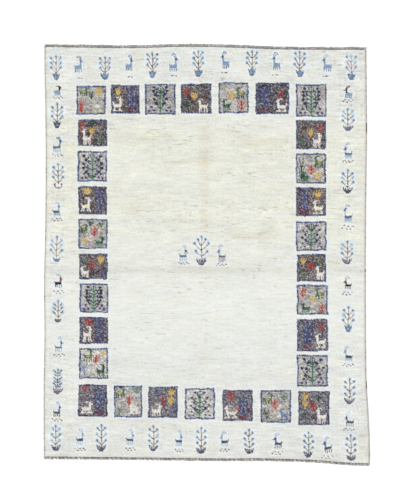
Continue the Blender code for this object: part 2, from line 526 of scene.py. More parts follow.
@dataclass(frozen=True)
class BorderTree(Figure):
    """A slim tree in a pot: pairs of rising twigs, each with a bud in a pale ring.

    A twig is where it leaves the stem, the height of its bud and how far out the bud is. The buds'
    wools go round from the top of the tree down. Leaves are slanted strokes in the buds' places.
    """

    pot: Pot = Pot.CROWN
    pot_wool: Yarn = Yarn.DENIM
    rim_wool: Yarn = Yarn.INDIGO
    buds: tuple[Yarn, ...] = (Yarn.DENIM, Yarn.TEAL)
    wood: Yarn = Yarn.STEM
    twigs: tuple[tuple[float, float, float], ...] = (
        (0.70, 0.91, 0.37),
        (0.44, 0.71, 0.37),
        (0.29, 0.50, 0.38),
    )
    leafy: bool = False

    def weave(self, chart: Chart) -> None:
        """Knot the pale rings, the wood, the buds and the pot.

        Args:
            chart: Where it is knotted.
        """
        tips = [(0.0, 0.95, self.buds[0])]
        for number, (_, up, reach) in enumerate(self.twigs, 1):
            bud = self.buds[number % len(self.buds)]
            tips += [(-reach, up, bud), (reach, up, bud)]
        for across, up, _ in tips:
            self.blob(chart, Yarn.MIST, (across, up), 2.0, 2.1)
        self.line(chart, self.wood, 0.40, (0.0, 0.18), (0.02, 0.55), (0.0, 0.92))
        for start, up, reach in self.twigs:
            bend = (0.40 * reach, start + 0.26 * (up - start))
            self.both(chart, self.wood, 0.34, (0.0, start), bend, (0.90 * reach, up - 0.03))
            self.blob(chart, Yarn.EARTH, (0.0, start), 0.65, 0.65)
        for across, up, bud in tips:
            if self.leafy:
                self.line(chart, bud, 0.62, (0.6 * across, up - 0.05), (1.05 * across, up + 0.01))
            else:
                self.blob(chart, bud, (across, up), 1.05, 1.15)
        self.weave_pot(chart)

    def weave_pot(self, chart: Chart) -> None:
        """Knot the pot or the leaves at the tree's foot.

        Args:
            chart: Where it is knotted.
        """
        if self.pot is Pot.CROWN:
            for up, half in ((0.04, 0.12), (0.09, 0.18), (0.14, 0.22), (0.19, 0.24)):
                self.line(chart, self.pot_wool, 0.75, (-half, up), (half, up))
            self.both(chart, self.rim_wool, 0.40, (0.22, 0.15), (0.30, 0.25))
            self.both(chart, self.pot_wool, 0.55, (0.0, 0.19), (0.09, 0.24))
            self.blob(chart, self.rim_wool, (0.0, 0.09), 0.24 * self.width, 0.09 * self.height, 0.24)
            self.blob(chart, Yarn.PEARL, (0.0, 0.12), 0.22 * self.width, 0.08 * self.height, 0.26)
            self.line(chart, self.rim_wool, 0.42, (-0.10, 0.01), (0.10, 0.01))
        elif self.pot is Pot.LEAVES:
            self.line(chart, self.pot_wool, 0.80, (-0.16, 0.05), (0.16, 0.05))
            self.line(chart, self.pot_wool, 0.55, (0.0, 0.04), (0.0, 0.15))
            self.both(chart, self.pot_wool, 0.62, (0.05, 0.05), (0.16, 0.13), (0.19, 0.19))
            self.both(chart, self.pot_wool, 0.72, (0.14, 0.04), (0.30, 0.12), (0.36, 0.20))
            self.blob(chart, self.rim_wool, (0.0, 0.09), 0.36 * self.width, 0.10 * self.height, 0.30)
            self.blob(chart, Yarn.PEARL, (0.0, 0.13), 0.34 * self.width, 0.07 * self.height, 0.16)
            self.line(chart, self.rim_wool, 0.48, (-0.12, 0.01), (0.12, 0.01))
        elif self.pot is Pot.DISH:
            for up, half in ((0.03, 0.10), (0.07, 0.18), (0.11, 0.22)):
                self.line(chart, self.pot_wool, 0.70, (-half, up), (half, up))
            self.both(chart, self.rim_wool, 0.38, (0.20, 0.12), (0.26, 0.17))
        else:
            scroll = ((0.0, 0.06), (0.14, 0.03), (0.28, 0.08), (0.30, 0.17), (0.20, 0.17))
            self.both(chart, self.rim_wool, 0.48, *scroll)
            self.line(chart, self.pot_wool, 0.60, (-0.16, 0.02), (0.16, 0.02))


class Stance(Enum):
    """How a panel's deer holds its legs."""

    STANDING = ((-0.36, -0.36), (-0.16, -0.16), (0.12, 0.12), (0.32, 0.32))
    RUNNING = ((-0.36, -0.50), (-0.20, -0.30), (0.12, 0.20), (0.30, 0.46))
    LYING = ((-0.44, -0.10), (0.10, 0.44))


@dataclass(frozen=True)
class PanelDeer(Figure):
    """A sturdier deer inside a panel."""

    facing: Facing = Facing.RIGHT
    coat: Coat = Coat.WHITE
    stance: Stance = Stance.STANDING

    def weave(self, chart: Chart) -> None:
        """Knot the horns, head, neck, body with its star, tail and legs.

        Args:
            chart: Where it is knotted.
        """
        body, shade, horn, leg = self.coat.value
        self.line(chart, horn, 0.42, (0.28, 0.88), (0.12, 0.98), (-0.06, 0.94))
        self.line(chart, horn, 0.38, (0.34, 0.88), (0.32, 1.0))
        self.line(chart, shade, 0.72, (0.26, 0.84), (0.46, 0.79))
        self.line(chart, shade, 1.00, (0.28, 0.82), (0.27, 0.46))
        self.line(chart, shade, 1.55, (-0.28, 0.41), (0.24, 0.41))
        if body is not shade:
            self.blob(chart, body, (-0.02, 0.43), 0.17 * self.width, 0.10 * self.height)
        self.line(chart, shade, 0.52, (-0.40, 0.46), (-0.46, 0.62))
        if self.stance is Stance.LYING:
            for start, end in self.stance.value:
                self.line(chart, leg, 0.56, (start, 0.07), (end, 0.07))
            self.line(chart, leg, 0.56, (-0.30, 0.26), (-0.42, 0.10))
            self.line(chart, leg, 0.56, (0.26, 0.26), (0.14, 0.10))
            return
        for start, end in self.stance.value:
            self.line(chart, leg, 0.54, (start, 0.30), (end, 0.02))


@dataclass(frozen=True)
class Bloom(Figure):
    """A full flower head: petals fanned from one point, on a short stalk."""

    yarn: ClassVar[Yarn] = Yarn.YELLOW

    def weave(self, chart: Chart) -> None:
        """Knot the stalk, the petals and the heart.

        Args:
            chart: Where it is knotted.
        """
        self.line(chart, self.yarn, 0.42, (0.0, 0.04), (0.0, 0.4))
        for across in (-0.44, -0.16, 0.16, 0.44):
            tip = (across, 1.0 - 0.8 * across**2)
            self.line(chart, self.yarn, 0.42, (0.0, 0.20), (0.8 * across, 0.5), tip)
        self.blob(chart, self.yarn, (0.0, 0.50), 0.36 * self.width, 0.30 * self.height, 0.62)


@dataclass(frozen=True)
class Coral(Figure):
    """A spiky flower in two tiers: arms that fork upwards from a stem, the upper ones wider."""

    yarn: Yarn = Yarn.RED

    def weave(self, chart: Chart) -> None:
        """Knot the stem, two pairs of arms and the full hearts between them.

        Args:
            chart: Where it is knotted.
        """
        self.line(chart, self.yarn, 0.60, (0.0, 0.0), (0.0, 0.96))
        self.both(chart, self.yarn, 0.48, (0.0, 0.04), (0.24, 0.18), (0.36, 0.40))
        self.both(chart, self.yarn, 0.48, (0.0, 0.46), (0.32, 0.62), (0.46, 0.94))
        self.both(chart, self.yarn, 0.36, (0.0, 0.30), (0.16, 0.44), (0.22, 0.62))
        self.blob(chart, self.yarn, (0.0, 0.22), 0.26 * self.width, 0.14 * self.height, 0.45)
        self.blob(chart, self.yarn, (0.0, 0.70), 0.34 * self.width, 0.20 * self.height, 0.45)
        self.line(chart, Yarn.BRICK, 0.50, (0.0, 0.06), (0.0, 0.80))


@dataclass(frozen=True)
class Bush(Figure):
    """A small plant: leaves in a V with a shorter one between them."""

    yarn: Yarn = Yarn.GREEN

    def weave(self, chart: Chart) -> None:
        """Knot the leaves.

        Args:
            chart: Where it is knotted.
        """
        self.line(chart, self.yarn, 0.42, (0.0, 0.0), (0.0, 0.72))
        self.both(chart, self.yarn, 0.42, (0.0, 0.06), (0.26, 0.34), (0.46, 0.62))
        self.both(chart, self.yarn, 0.38, (0.0, 0.36), (0.20, 0.66), (0.30, 0.98))


@dataclass(frozen=True)
class Thicket(Figure):
    """The tall dark tree of a dusky panel: close upright twigs, with a wide pot under it."""

    yarn: ClassVar[Yarn] = Yarn.INDIGO
    pot: Yarn = Yarn.CRIMSON

    def weave(self, chart: Chart) -> None:
        """Knot the dusk between the twigs, the trunk, the twigs with their berries and the pot.

        Args:
            chart: Where it is knotted.
        """
        crown = (0.50 * self.width, 0.44 * self.height)
        self.blob(chart, Yarn.NAVY, (0.0, 0.56), *crown, 0.30)
        self.blob(chart, self.yarn, (0.0, 0.56), *crown, 0.16)
        self.line(chart, self.yarn, 0.90, (0.0, 0.12), (0.0, 0.96))
        for up in (0.18, 0.36, 0.54, 0.72):
            self.both(chart, self.yarn, 0.46, (0.0, up), (0.26, up + 0.05), (0.42, up + 0.20))
            for side in (-0.22, 0.22):
                self.blob(chart, Yarn.LILAC, (side, up + 0.13), 0.45, 0.50)
                self.blob(chart, Yarn.PURPLE, (1.9 * side, up + 0.22), 0.90, 0.80)
        self.blob(chart, self.pot, (0.0, 0.07), 0.40 * self.width, 0.09 * self.height, 0.50)
        self.both(chart, self.pot, 0.60, (0.08, 0.03), (0.30, 0.06), (0.44, 0.15))


class Habit(Enum):
    """How a flowering stem branches: for each pair of branches its start, its reach and its end."""

    NARROW = (
        (0.16, 0.14, 0.34), (0.34, 0.21, 0.50), (0.50, 0.17, 0.68),
        (0.60, 0.24, 0.80), (0.70, 0.22, 0.95),
    )
    VASE = (
        (0.04, 0.22, 0.40), (0.16, 0.27, 0.54), (0.32, 0.26, 0.68),
        (0.50, 0.27, 0.80), (0.60, 0.22, 0.93),
    )
    FAN = (
        (0.04, 0.22, 0.28), (0.10, 0.34, 0.44), (0.34, 0.34, 0.60),
        (0.56, 0.22, 0.74), (0.66, 0.30, 0.90),
    )
    BUSHY = (
        (0.12, 0.20, 0.32), (0.22, 0.32, 0.44), (0.36, 0.22, 0.56),
        (0.54, 0.28, 0.74), (0.70, 0.16, 0.92),
    )
    ARCHED = (
        (0.10, 0.24, 0.34), (0.20, 0.37, 0.60), (0.42, 0.20, 0.58),
        (0.62, 0.28, 0.90), (0.70, 0.14, 0.80),
    )


@dataclass(frozen=True)
class Sprig(Figure):
    """The flowering stem of a pale panel: branches with dark buds, and three dots at each side."""

    habit: Habit = Habit.VASE
    full: float = 1.0
    bud: ClassVar[Yarn] = Yarn.NAVY
    dot: ClassVar[Yarn] = Yarn.PURPLE

    def weave(self, chart: Chart) -> None:
        """Knot the pale light round the stem, the stem, the branches, their buds and the dots.

        Args:
            chart: Where it is knotted.
        """
        self.line(chart, Yarn.MINT, 1.60, (0.0, 0.06), (0.0, 0.86))
        for start, reach, end in self.habit.value:
            bend = (0.60 * reach, start + 0.36 * (end - start))
            self.both(chart, Yarn.FOREST, 0.46, (0.0, start), bend, (reach, end - 0.03))
        self.line(chart, Yarn.GREEN, 0.58 * self.full, (0.0, 0.0), (0.0, 0.90))
        self.blob(chart, Yarn.FOREST, (0.0, 0.45), 0.70, 0.45 * self.height, 0.30)
        self.both(chart, Yarn.FOREST, 0.40, (0.0, 0.74), (0.09, 0.86), (0.07, 0.96))
        for start, reach, end in self.habit.value:
            for side in (-1, 1):
                self.blob(chart, self.bud, (side * reach, end), 1.65 * self.full, 1.40 * self.full)
                inner = (side * 0.52 * reach, 0.5 * (start + end) + 0.05)
                self.blob(chart, self.dot, inner, 1.10 * self.full, 1.05 * self.full)
        self.blob(chart, self.bud, (0.0, 0.97), 0.95, 0.85)
        for across, up in ((0.30, 0.20), (0.22, 0.07), (0.37, 0.05)):
            for side in (-1, 1):
                self.blob(chart, self.dot, (side * across, up), 1.35 * self.full, 1.25 * self.full)


# The panels


class Ground(Enum):
    """A panel's ground: its wools from dark to pale, each with its share of the knots."""

    EARTH = (
        (Yarn.SOOT, 0.12), (Yarn.AUBERGINE, 0.27), (Yarn.EARTH, 0.31), (Yarn.SMOKE, 0.18),
        (Yarn.STONE, 0.12),
    )
    DUSK = (
        (Yarn.SOOT, 0.14), (Yarn.NAVY, 0.12), (Yarn.AUBERGINE, 0.26), (Yarn.SLATE, 0.22), (Yarn.SMOKE, 0.15),
        (Yarn.STONE, 0.11),
    )
    SMOKE = (
        (Yarn.SOOT, 0.10), (Yarn.AUBERGINE, 0.24), (Yarn.SLATE, 0.22), (Yarn.SMOKE, 0.26),
        (Yarn.STONE, 0.18),
    )
    SAND = (
        (Yarn.SMOKE, 0.15), (Yarn.STONE, 0.28), (Yarn.LILAC, 0.14), (Yarn.SAND, 0.31), (Yarn.IVORY, 0.12),
    )
    LILAC = (
        (Yarn.SMOKE, 0.12), (Yarn.LILAC, 0.34), (Yarn.STONE, 0.18), (Yarn.SAND, 0.22), (Yarn.IVORY, 0.14),
    )

    @property
    def dark(self) -> bool:
        """Whether it is one of the dusky grounds, whose wools are also mixed more wildly."""
        return self not in (Ground.SAND, Ground.LILAC)


@dataclass(frozen=True)
class Panel:
    """One small framed picture of the rectangle: its box on the sheet, its ground and its figures.

    A cell is how many rows and columns of knots a streak or patch of one wool takes up. A frame is
    navy where its patches pass the first number, and paler where they fall below the second. Broad
    streaks count for the broad share of the fine ones. A pale ground has the calm share of a dusky
    one's flecks, and each ground the pale share of pale flecks for every dark one.
    """

    STREAK_CELL: ClassVar[Point] = (1.1, 2.6)
    BROAD_CELL: ClassVar[Point] = (6.0, 12.0)
    BROAD_SHARE: ClassVar[float] = 0.5
    PATCH_CELL: ClassVar[Point] = (1.8, 3.2)
    RAGGED_CELL: ClassVar[Point] = (1.4, 1.4)
    RAGGED_STEPS: ClassVar[float] = 0.34
    FRAME_DARK: ClassVar[tuple[float, float, Yarn]] = (0.15, -0.35, Yarn.STEEL)
    FRAME_PALE: ClassVar[tuple[float, float, Yarn]] = (0.38, -0.25, Yarn.BLUE)
    MIX_DARK: ClassVar[float] = 1.3
    MIX_PALE: ClassVar[float] = 0.8
    UNDER_SHARE: ClassVar[float] = 0.65
    OVER_SHARE: ClassVar[float] = 0.45
    CALM_SHARE: ClassVar[float] = 0.7
    PALE_SHARE: ClassVar[float] = 0.6

    left: float
    top: float
    right: float
    bottom: float
    ground: Ground
    figures: tuple[Figure, ...] = ()
    frame_half_width: float = 0.80
    tone: float = 1.0
    fleck_share: float = 0.14
    fleck_strength: float = 0.55

    def weave(self, chart: Chart) -> None:
        """Knot the ground, the ragged frame, the figures, and the flecks under and over them.

        Args:
            chart: Where it is knotted.
        """
        at = chart.window((self.left, self.top), (self.right, self.bottom))
        x, y = chart.x[at], chart.y[at]
        inside = (x > self.left) & (x < self.right) & (y > self.top) & (y < self.bottom)
        self.weave_ground(chart, at, inside)
        inset = self.frame_half_width
        low = (self.left + inset, self.top + inset)
        high = (self.right - inset, self.bottom - inset)
        corners = np.array([low, (high[0], low[1]), high, (low[0], high[1]), low])
        ragged = self.RAGGED_STEPS * drift(x.shape, self.RAGGED_CELL, chart.rng)
        near = distance(x, y, corners) < self.frame_half_width + ragged
        chart.lay(at, near, Yarn.INDIGO)
        patches = drift(x.shape, self.PATCH_CELL, chart.rng)
        navy_above, pale_below, pale = self.FRAME_DARK if self.ground.dark else self.FRAME_PALE
        chart.lay(at, near & (patches > navy_above), Yarn.NAVY)
        chart.lay(at, near & (patches < pale_below), pale)
        self.fleck(chart, at, inside, self.UNDER_SHARE * self.fleck_share)
        for figure in self.figures:
            figure.weave(chart)
        self.fleck(chart, at, inside, self.OVER_SHARE * self.fleck_share)

    def weave_ground(self, chart: Chart, at: tuple[slice, slice], inside: Array) -> None:
        """Lay the ground's wools by short streaks along the rows, each over its share, in this tone.

        Args:
            chart: Where it is knotted.
            at: The panel's window.
            inside: Which of its knots are in the panel.
        """
        streak = drift(inside.shape, self.STREAK_CELL, chart.rng)
        streak += self.BROAD_SHARE * drift(inside.shape, self.BROAD_CELL, chart.rng)
        wild = self.MIX_DARK if self.ground.dark else self.MIX_PALE
        choice = streak + wild * chart.rng.uniform(-1, 1, inside.shape)
        yarns, shares = zip(*self.ground.value)
        bounds = np.quantile(choice, np.cumsum(shares)[:-1])
        for yarn, low, high in zip(yarns, [-math.inf, *bounds], [*bounds, math.inf]):
            chart.lay(at, inside & (choice >= low) & (choice < high), yarn)
        chart.colour[at] *= np.where(inside, self.tone, 1.0)[..., None]

    def fleck(self, chart: Chart, at: tuple[slice, slice], inside: Array, share: float) -> None:
        """Let dark and pale tips show through everything so far, in a scattered share of the knots.

        Args:
            chart: Where it is knotted.
            at: The panel's window.
            inside: Which of its knots are in the panel.
            share: The share of the knots that are dark on a dusky ground.
        """
        chance = chart.rng.random(inside.shape)
        share *= 1.0 if self.ground.dark else self.CALM_SHARE
        tips = ((Yarn.SOOT, chance < share), (Yarn.MIST, chance > 1 - self.PALE_SHARE * share))
        for yarn, flecked in tips:
            strength = (self.fleck_strength * (inside & flecked))[..., None]
            chart.colour[at] += (yarn.carded(chart.heather[at]) - chart.colour[at]) * strength


# What a stem that fills its panel leaves free at each side and at each end, in steps, and how many
# of such a panel's knots are flecks.
SPRIG_SIDE = 1.0
SPRIG_END = 2.2
SPRIG_FLECKS = 0.10


def sprig_panel(
    left: float,
    top: float,
    right: float,
    bottom: float,
    habit: Habit,
    tone: float = 1.0,
    full: float = 1.0,
) -> Panel:
    """A pale panel that one flowering stem fills.

    Args:
        left: Its left side on the sheet.
        top: Its upper side.
        right: Its right side.
        bottom: Its lower side.
        habit: How the stem branches.
        tone: How bright the ground is.
        full: How full the stem and its buds are.

    Returns:
        The panel.
    """
    middle = 0.5 * (left + right)
    width = right - left - 2 * SPRIG_SIDE
    height = bottom - top - 2 * SPRIG_END
    stem = Sprig(middle, bottom - SPRIG_END, width, height, habit, full)
    return Panel(left, top, right, bottom, Ground.LILAC, (stem,), tone=tone, fleck_share=SPRIG_FLECKS)


# The two ways in which a deer faces, short for the tables.
R, L = Facing.RIGHT, Facing.LEFT

HEAD_PANELS = (
    Panel(76.5, 85.7, 105.8, 114.4, Ground.SAND, (
        PanelDeer(84.0, 95.5, 9.0, 8.5, R, Coat.MEADOW),
        Bloom(99.0, 96.0, 7.0, 8.5),
        Bush(91.5, 99.0, 5.5, 8.0, Yarn.FOREST),
        Coral(81.5, 112.0, 5.0, 6.0),
        Coral(81.5, 106.5, 5.0, 6.0),
        PanelDeer(97.0, 112.0, 11.0, 14.0, L, Coat.GHOST),
    ), tone=0.92),
    Panel(111.0, 85.0, 139.7, 113.8, Ground.EARTH, (
        Bloom(118.5, 96.0, 6.5, 8.0),
        PanelDeer(117.5, 111.5, 10.0, 15.0, R, Coat.WHITE, Stance.LYING),
        Thicket(132.0, 112.0, 11.0, 24.0),
    ), tone=0.82),
    sprig_panel(145.0, 83.8, 175.7, 114.4, Habit.NARROW, 0.93),
    Panel(181.0, 83.8, 211.4, 113.4, Ground.EARTH, (
        Coral(186.0, 96.0, 5.5, 8.5, Yarn.MADDER),
        Bloom(194.5, 100.0, 6.0, 7.5),
        Bush(188.0, 111.5, 7.0, 10.0, Yarn.FOREST),
        PanelDeer(203.0, 112.0, 10.5, 13.0, L, Coat.CREAM),
    ), tone=0.76),
    Panel(218.5, 82.5, 248.5, 113.1, Ground.SAND, (
        PanelDeer(240.5, 99.0, 9.5, 11.5, L, Coat.MEADOW),
        Bloom(232.0, 101.0, 6.0, 9.0),
        PanelDeer(226.5, 110.5, 9.0, 11.0, L, Coat.GREEN),
        Coral(241.5, 110.5, 7.5, 10.5),
    )),
    Panel(255.5, 82.8, 289.0, 114.1, Ground.DUSK, (
        Thicket(264.5, 112.0, 11.0, 25.0),
        Coral(280.5, 98.5, 7.0, 9.0, Yarn.MADDER),
        PanelDeer(281.5, 112.0, 10.5, 13.5, L, Coat.WHITE, Stance.LYING),
    ), tone=0.76),
    sprig_panel(296.0, 84.1, 326.5, 116.6, Habit.VASE),
)

LEFT_PANELS = (
    Panel(77.8, 119.6, 106.9, 146.0, Ground.EARTH, (
        Coral(81.5, 132.0, 6.0, 11.0, Yarn.MADDER),
        PanelDeer(86.5, 145.0, 9.0, 16.0, L, Coat.WHITE),
        Bloom(92.0, 136.0, 6.5, 9.0),
        Bush(100.0, 143.0, 6.5, 8.0),
        Bush(92.0, 125.0, 6.0, 4.5, Yarn.FOREST),
    ), tone=0.83),
    sprig_panel(77.8, 151.0, 107.0, 181.6, Habit.FAN),
    Panel(78.5, 186.2, 107.0, 214.5, Ground.EARTH, (
        Bloom(87.0, 196.0, 7.0, 8.5),
        PanelDeer(86.0, 211.5, 9.5, 13.5, R, Coat.CREAM, Stance.RUNNING),
        Thicket(99.5, 213.0, 9.0, 25.0, Yarn.PURPLE),
    ), tone=0.86),
    Panel(78.5, 219.0, 107.5, 248.7, Ground.SAND, (
        Bush(90.5, 226.0, 6.0, 5.5, Yarn.FOREST),
        Bush(100.5, 227.0, 6.0, 6.0),
        PanelDeer(84.0, 233.0, 8.0, 8.5, R, Coat.MEADOW),
        Coral(94.5, 236.0, 8.0, 9.5),
        Bloom(85.0, 244.5, 6.0, 7.0),
        PanelDeer(100.0, 246.0, 8.0, 9.0, R, Coat.GREEN),
    )),
    Panel(79.0, 253.7, 107.5, 279.3, Ground.EARTH, (
        Bush(84.5, 263.0, 6.0, 6.0),
        Bloom(101.0, 264.5, 7.0, 8.5),
        Coral(91.5, 269.0, 6.0, 8.0, Yarn.MADDER),
        PanelDeer(85.0, 277.0, 8.5, 11.0, L, Coat.WHITE),
        Bush(102.0, 276.5, 6.0, 8.0, Yarn.INDIGO),
    ), tone=0.86),
    sprig_panel(79.5, 283.5, 108.0, 312.6, Habit.VASE),
    Panel(79.5, 317.2, 108.0, 343.9, Ground.EARTH, (
        Coral(88.5, 326.0, 8.0, 7.5, Yarn.MADDER),
        PanelDeer(87.5, 341.5, 8.5, 15.5, R, Coat.WHITE, Stance.RUNNING),
        Thicket(99.5, 342.5, 10.0, 24.0, Yarn.PURPLE),
    )),
    Panel(79.0, 348.2, 108.0, 378.6, Ground.SAND, (
        PanelDeer(88.0, 361.5, 10.5, 12.0, R, Coat.MEADOW),
        Coral(96.0, 363.0, 6.5, 8.0),
        Bloom(103.0, 356.5, 5.5, 5.5),
        Bush(84.5, 375.0, 8.0, 12.0, Yarn.BLUE),
        PanelDeer(101.0, 376.0, 8.5, 11.5, R, Coat.GREEN),
    ), tone=1.22),
)

FOOT_PANELS = (
    Panel(78.3, 384.6, 107.3, 416.4, Ground.SMOKE, (
        Coral(85.0, 391.5, 8.0, 6.0, Yarn.MADDER),
        PanelDeer(87.0, 413.5, 12.0, 12.0, R, Coat.WHITE, Stance.LYING),
        Thicket(99.5, 414.5, 11.0, 27.0),
    )),
    Panel(114.0, 385.7, 142.2, 417.4, Ground.SAND, (
        PanelDeer(120.5, 398.0, 11.0, 10.5, R, Coat.MEADOW),
        Bush(136.0, 393.5, 8.0, 7.0),
        Coral(129.0, 405.0, 6.5, 9.5),
        Bush(119.5, 415.0, 6.5, 9.0),
        PanelDeer(134.0, 413.5, 9.0, 9.5, L, Coat.WHITE, Stance.LYING),
        Bush(134.5, 416.0, 9.0, 2.0, Yarn.MAUVE),
    )),
    Panel(148.3, 386.5, 177.8, 417.8, Ground.SMOKE, (
        Bush(157.0, 394.5, 6.0, 5.5, Yarn.INDIGO),
        Bloom(171.0, 397.0, 7.5, 8.0),
        Bloom(171.0, 405.0, 6.5, 8.5),
        Coral(163.5, 406.0, 7.0, 9.5, Yarn.MADDER),
        PanelDeer(156.5, 416.0, 10.0, 12.0, R, Coat.WHITE),
        Bush(172.0, 416.0, 7.0, 9.5, Yarn.INDIGO),
    )),
    sprig_panel(184.9, 388.4, 214.9, 419.0, Habit.BUSHY, 1.24, 0.78),
    Panel(222.7, 390.0, 252.9, 420.9, Ground.SMOKE, (
        Coral(230.5, 400.0, 8.0, 9.5, Yarn.MADDER),
        PanelDeer(231.0, 418.5, 13.0, 13.0, L, Coat.WHITE, Stance.LYING),
        Thicket(243.5, 419.5, 9.0, 23.0),
        Bush(238.0, 411.5, 3.5, 4.0, Yarn.MADDER),
        Bush(249.0, 411.5, 3.5, 4.0, Yarn.CRIMSON),
    )),
    Panel(260.6, 390.0, 291.0, 422.6, Ground.SAND, (
        PanelDeer(268.0, 404.5, 11.5, 11.5, R, Coat.MEADOW),
        Bush(284.0, 400.5, 8.5, 7.5),
        Coral(275.0, 409.0, 7.5, 10.0),
        Bush(266.5, 419.0, 7.5, 9.5, Yarn.FOREST),
        PanelDeer(284.0, 420.3, 8.5, 11.5, L, Coat.INDIGO, Stance.LYING),
    )),
    Panel(298.0, 390.8, 329.5, 424.9, Ground.SMOKE, (
        Bloom(305.0, 400.5, 8.0, 8.5),
        Bloom(305.0, 409.0, 6.0, 9.0),
        Bush(319.0, 401.0, 9.0, 7.5, Yarn.FOREST),
        Coral(313.0, 411.5, 7.5, 10.0, Yarn.MADDER),
        PanelDeer(321.5, 423.0, 10.5, 15.0, L, Coat.WHITE),
        Bush(305.0, 420.0, 7.5, 9.0, Yarn.FOREST),
    )),
)

RIGHT_PANELS = (
    Panel(296.0, 120.4, 325.9, 149.0, Ground.EARTH, (
        Coral(320.0, 132.0, 7.0, 9.0, Yarn.MADDER),
        Bloom(310.5, 137.5, 7.0, 9.5),
        PanelDeer(317.0, 147.5, 8.5, 14.5, R, Coat.WHITE),
        Bush(302.0, 146.0, 6.5, 8.0),
    ), tone=0.83),
    Panel(296.0, 153.3, 326.0, 183.5, Ground.SAND, (
        Bush(301.5, 181.0, 5.5, 23.0, Yarn.FOREST),
        PanelDeer(305.0, 181.5, 6.5, 9.0, L, Coat.GREEN),
        Coral(311.0, 174.0, 8.0, 9.5),
        PanelDeer(319.0, 168.0, 10.0, 12.0, L, Coat.MEADOW),
        Bloom(318.0, 180.5, 7.0, 8.5),
    )),
    Panel(296.0, 187.7, 326.0, 216.0, Ground.EARTH, (
        Thicket(304.5, 213.5, 9.0, 24.0),
        Bloom(318.0, 199.0, 8.0, 9.0),
        PanelDeer(318.0, 214.0, 10.0, 14.0, L, Coat.CREAM, Stance.LYING),
    )),
    sprig_panel(296.0, 221.3, 326.5, 250.6, Habit.BUSHY, 1.08, 0.82),
    Panel(297.0, 254.0, 326.0, 281.6, Ground.EARTH, (
        Bloom(303.0, 265.0, 7.0, 8.5),
        Coral(311.0, 270.5, 6.5, 8.5, Yarn.MADDER),
        PanelDeer(320.0, 279.5, 8.5, 14.0, L, Coat.WHITE),
        Bush(319.5, 264.5, 6.5, 6.5),
        Bush(304.0, 278.0, 7.0, 8.0),
    )),
    Panel(297.0, 285.0, 328.0, 314.5, Ground.SAND, (
        Coral(303.0, 297.0, 8.0, 9.5),
        PanelDeer(320.0, 298.5, 10.0, 10.5, L, Coat.MEADOW),
        Bloom(313.5, 302.5, 7.0, 6.0),
        PanelDeer(306.0, 312.0, 8.5, 9.5, L, Coat.GREEN),
        Coral(322.0, 313.0, 7.5, 9.5),
    )),
    Panel(297.0, 319.1, 328.0, 351.0, Ground.SMOKE, (
        Thicket(308.0, 348.0, 11.0, 27.0),
        Coral(321.5, 331.0, 7.5, 9.5, Yarn.MADDER),
        PanelDeer(320.5, 348.5, 10.0, 15.0, L, Coat.WHITE, Stance.LYING),
    )),
    sprig_panel(297.0, 355.0, 328.0, 386.3, Habit.ARCHED),
)


# The border


TALL_TWIGS = ((0.72, 0.84, 0.32), (0.47, 0.62, 0.36), (0.24, 0.39, 0.35))
OPEN_TWIGS = ((0.66, 0.83, 0.38), (0.47, 0.66, 0.42), (0.24, 0.46, 0.43))
LEAF_TWIGS = (
    (0.80, 0.90, 0.30), (0.70, 0.74, 0.22), (0.56, 0.64, 0.30),
    (0.46, 0.50, 0.20), (0.32, 0.42, 0.32), (0.26, 0.30, 0.18),
)
CENTRE_TWIGS = ((0.64, 0.85, 0.28), (0.50, 0.72, 0.52), (0.28, 0.46, 0.42))
TEALS = (Yarn.TEAL, Yarn.STEEL, Yarn.PEARL, Yarn.TEAL)
SLATES = (Yarn.STEEL, Yarn.SLATE, Yarn.TEAL, Yarn.STEEL)
PEARLS = (Yarn.TEAL, Yarn.PEARL, Yarn.PEARL, Yarn.TEAL)


def head_tree(x: float, foot: float, height: float, wood: Yarn, *buds: Yarn) -> BorderTree:
    """A blue tree of the head border."""
    return BorderTree(x, foot, 12.5, height, Pot.CROWN, Yarn.DENIM, Yarn.INDIGO, buds, wood)


def foot_tree(x: float, foot: float, height: float, pot: Yarn, wood: Yarn, *buds: Yarn) -> BorderTree:
    """A tree of the foot border, in a fan of leaves."""
    return BorderTree(x, foot, 11.5, height, Pot.LEAVES, pot, Yarn.COAL, buds, wood, TALL_TWIGS)


def head_deer(
    x: float, foot: float, width: float, height: float, facing: Facing, pelt: Pelt, marks: float
) -> BorderDeer:
    """A blue deer of the head border, with a full body."""
    trail = ((-0.08, 1.0), (0.14, 0.94), (0.46, 1.04))
    return BorderDeer(x, foot, width, height, facing, pelt, marks, 0.66, 1.85, False, trail)


HEAD_BORDER = (
    head_tree(56.0, 79.5, 24.0, Yarn.STEM, Yarn.DENIM, Yarn.TEAL),
    head_deer(78.3, 71.9, 8.0, 15.9, R, Pelt.AZURE, 6.5),
    head_tree(104.8, 79.2, 23.0, Yarn.STEM, Yarn.TEAL, Yarn.DENIM),
    head_deer(129.0, 70.9, 6.6, 16.0, R, Pelt.AZURE, 6.0),
    head_tree(152.4, 77.4, 25.0, Yarn.BARK, Yarn.TEAL, Yarn.STEEL),
    head_deer(173.0, 71.4, 8.2, 18.4, R, Pelt.AZURE, 4.5),
    head_tree(198.3, 76.4, 25.8, Yarn.BARK, Yarn.TEAL, Yarn.DENIM),
    head_deer(225.6, 68.4, 7.0, 17.2, L, Pelt.AZURE, 4.5),
    head_tree(252.0, 75.4, 25.0, Yarn.EARTH, Yarn.DENIM, Yarn.STEEL),
    head_deer(276.6, 70.0, 7.6, 17.8, L, Pelt.AZURE, 5.0),
    head_tree(299.8, 76.8, 25.4, Yarn.BARK, Yarn.TEAL, Yarn.DENIM),
    head_deer(327.2, 71.4, 8.6, 17.4, L, Pelt.AIRY, 5.0),
    head_tree(351.3, 79.6, 24.8, Yarn.STEM, Yarn.PEARL, Yarn.BLUE),
)

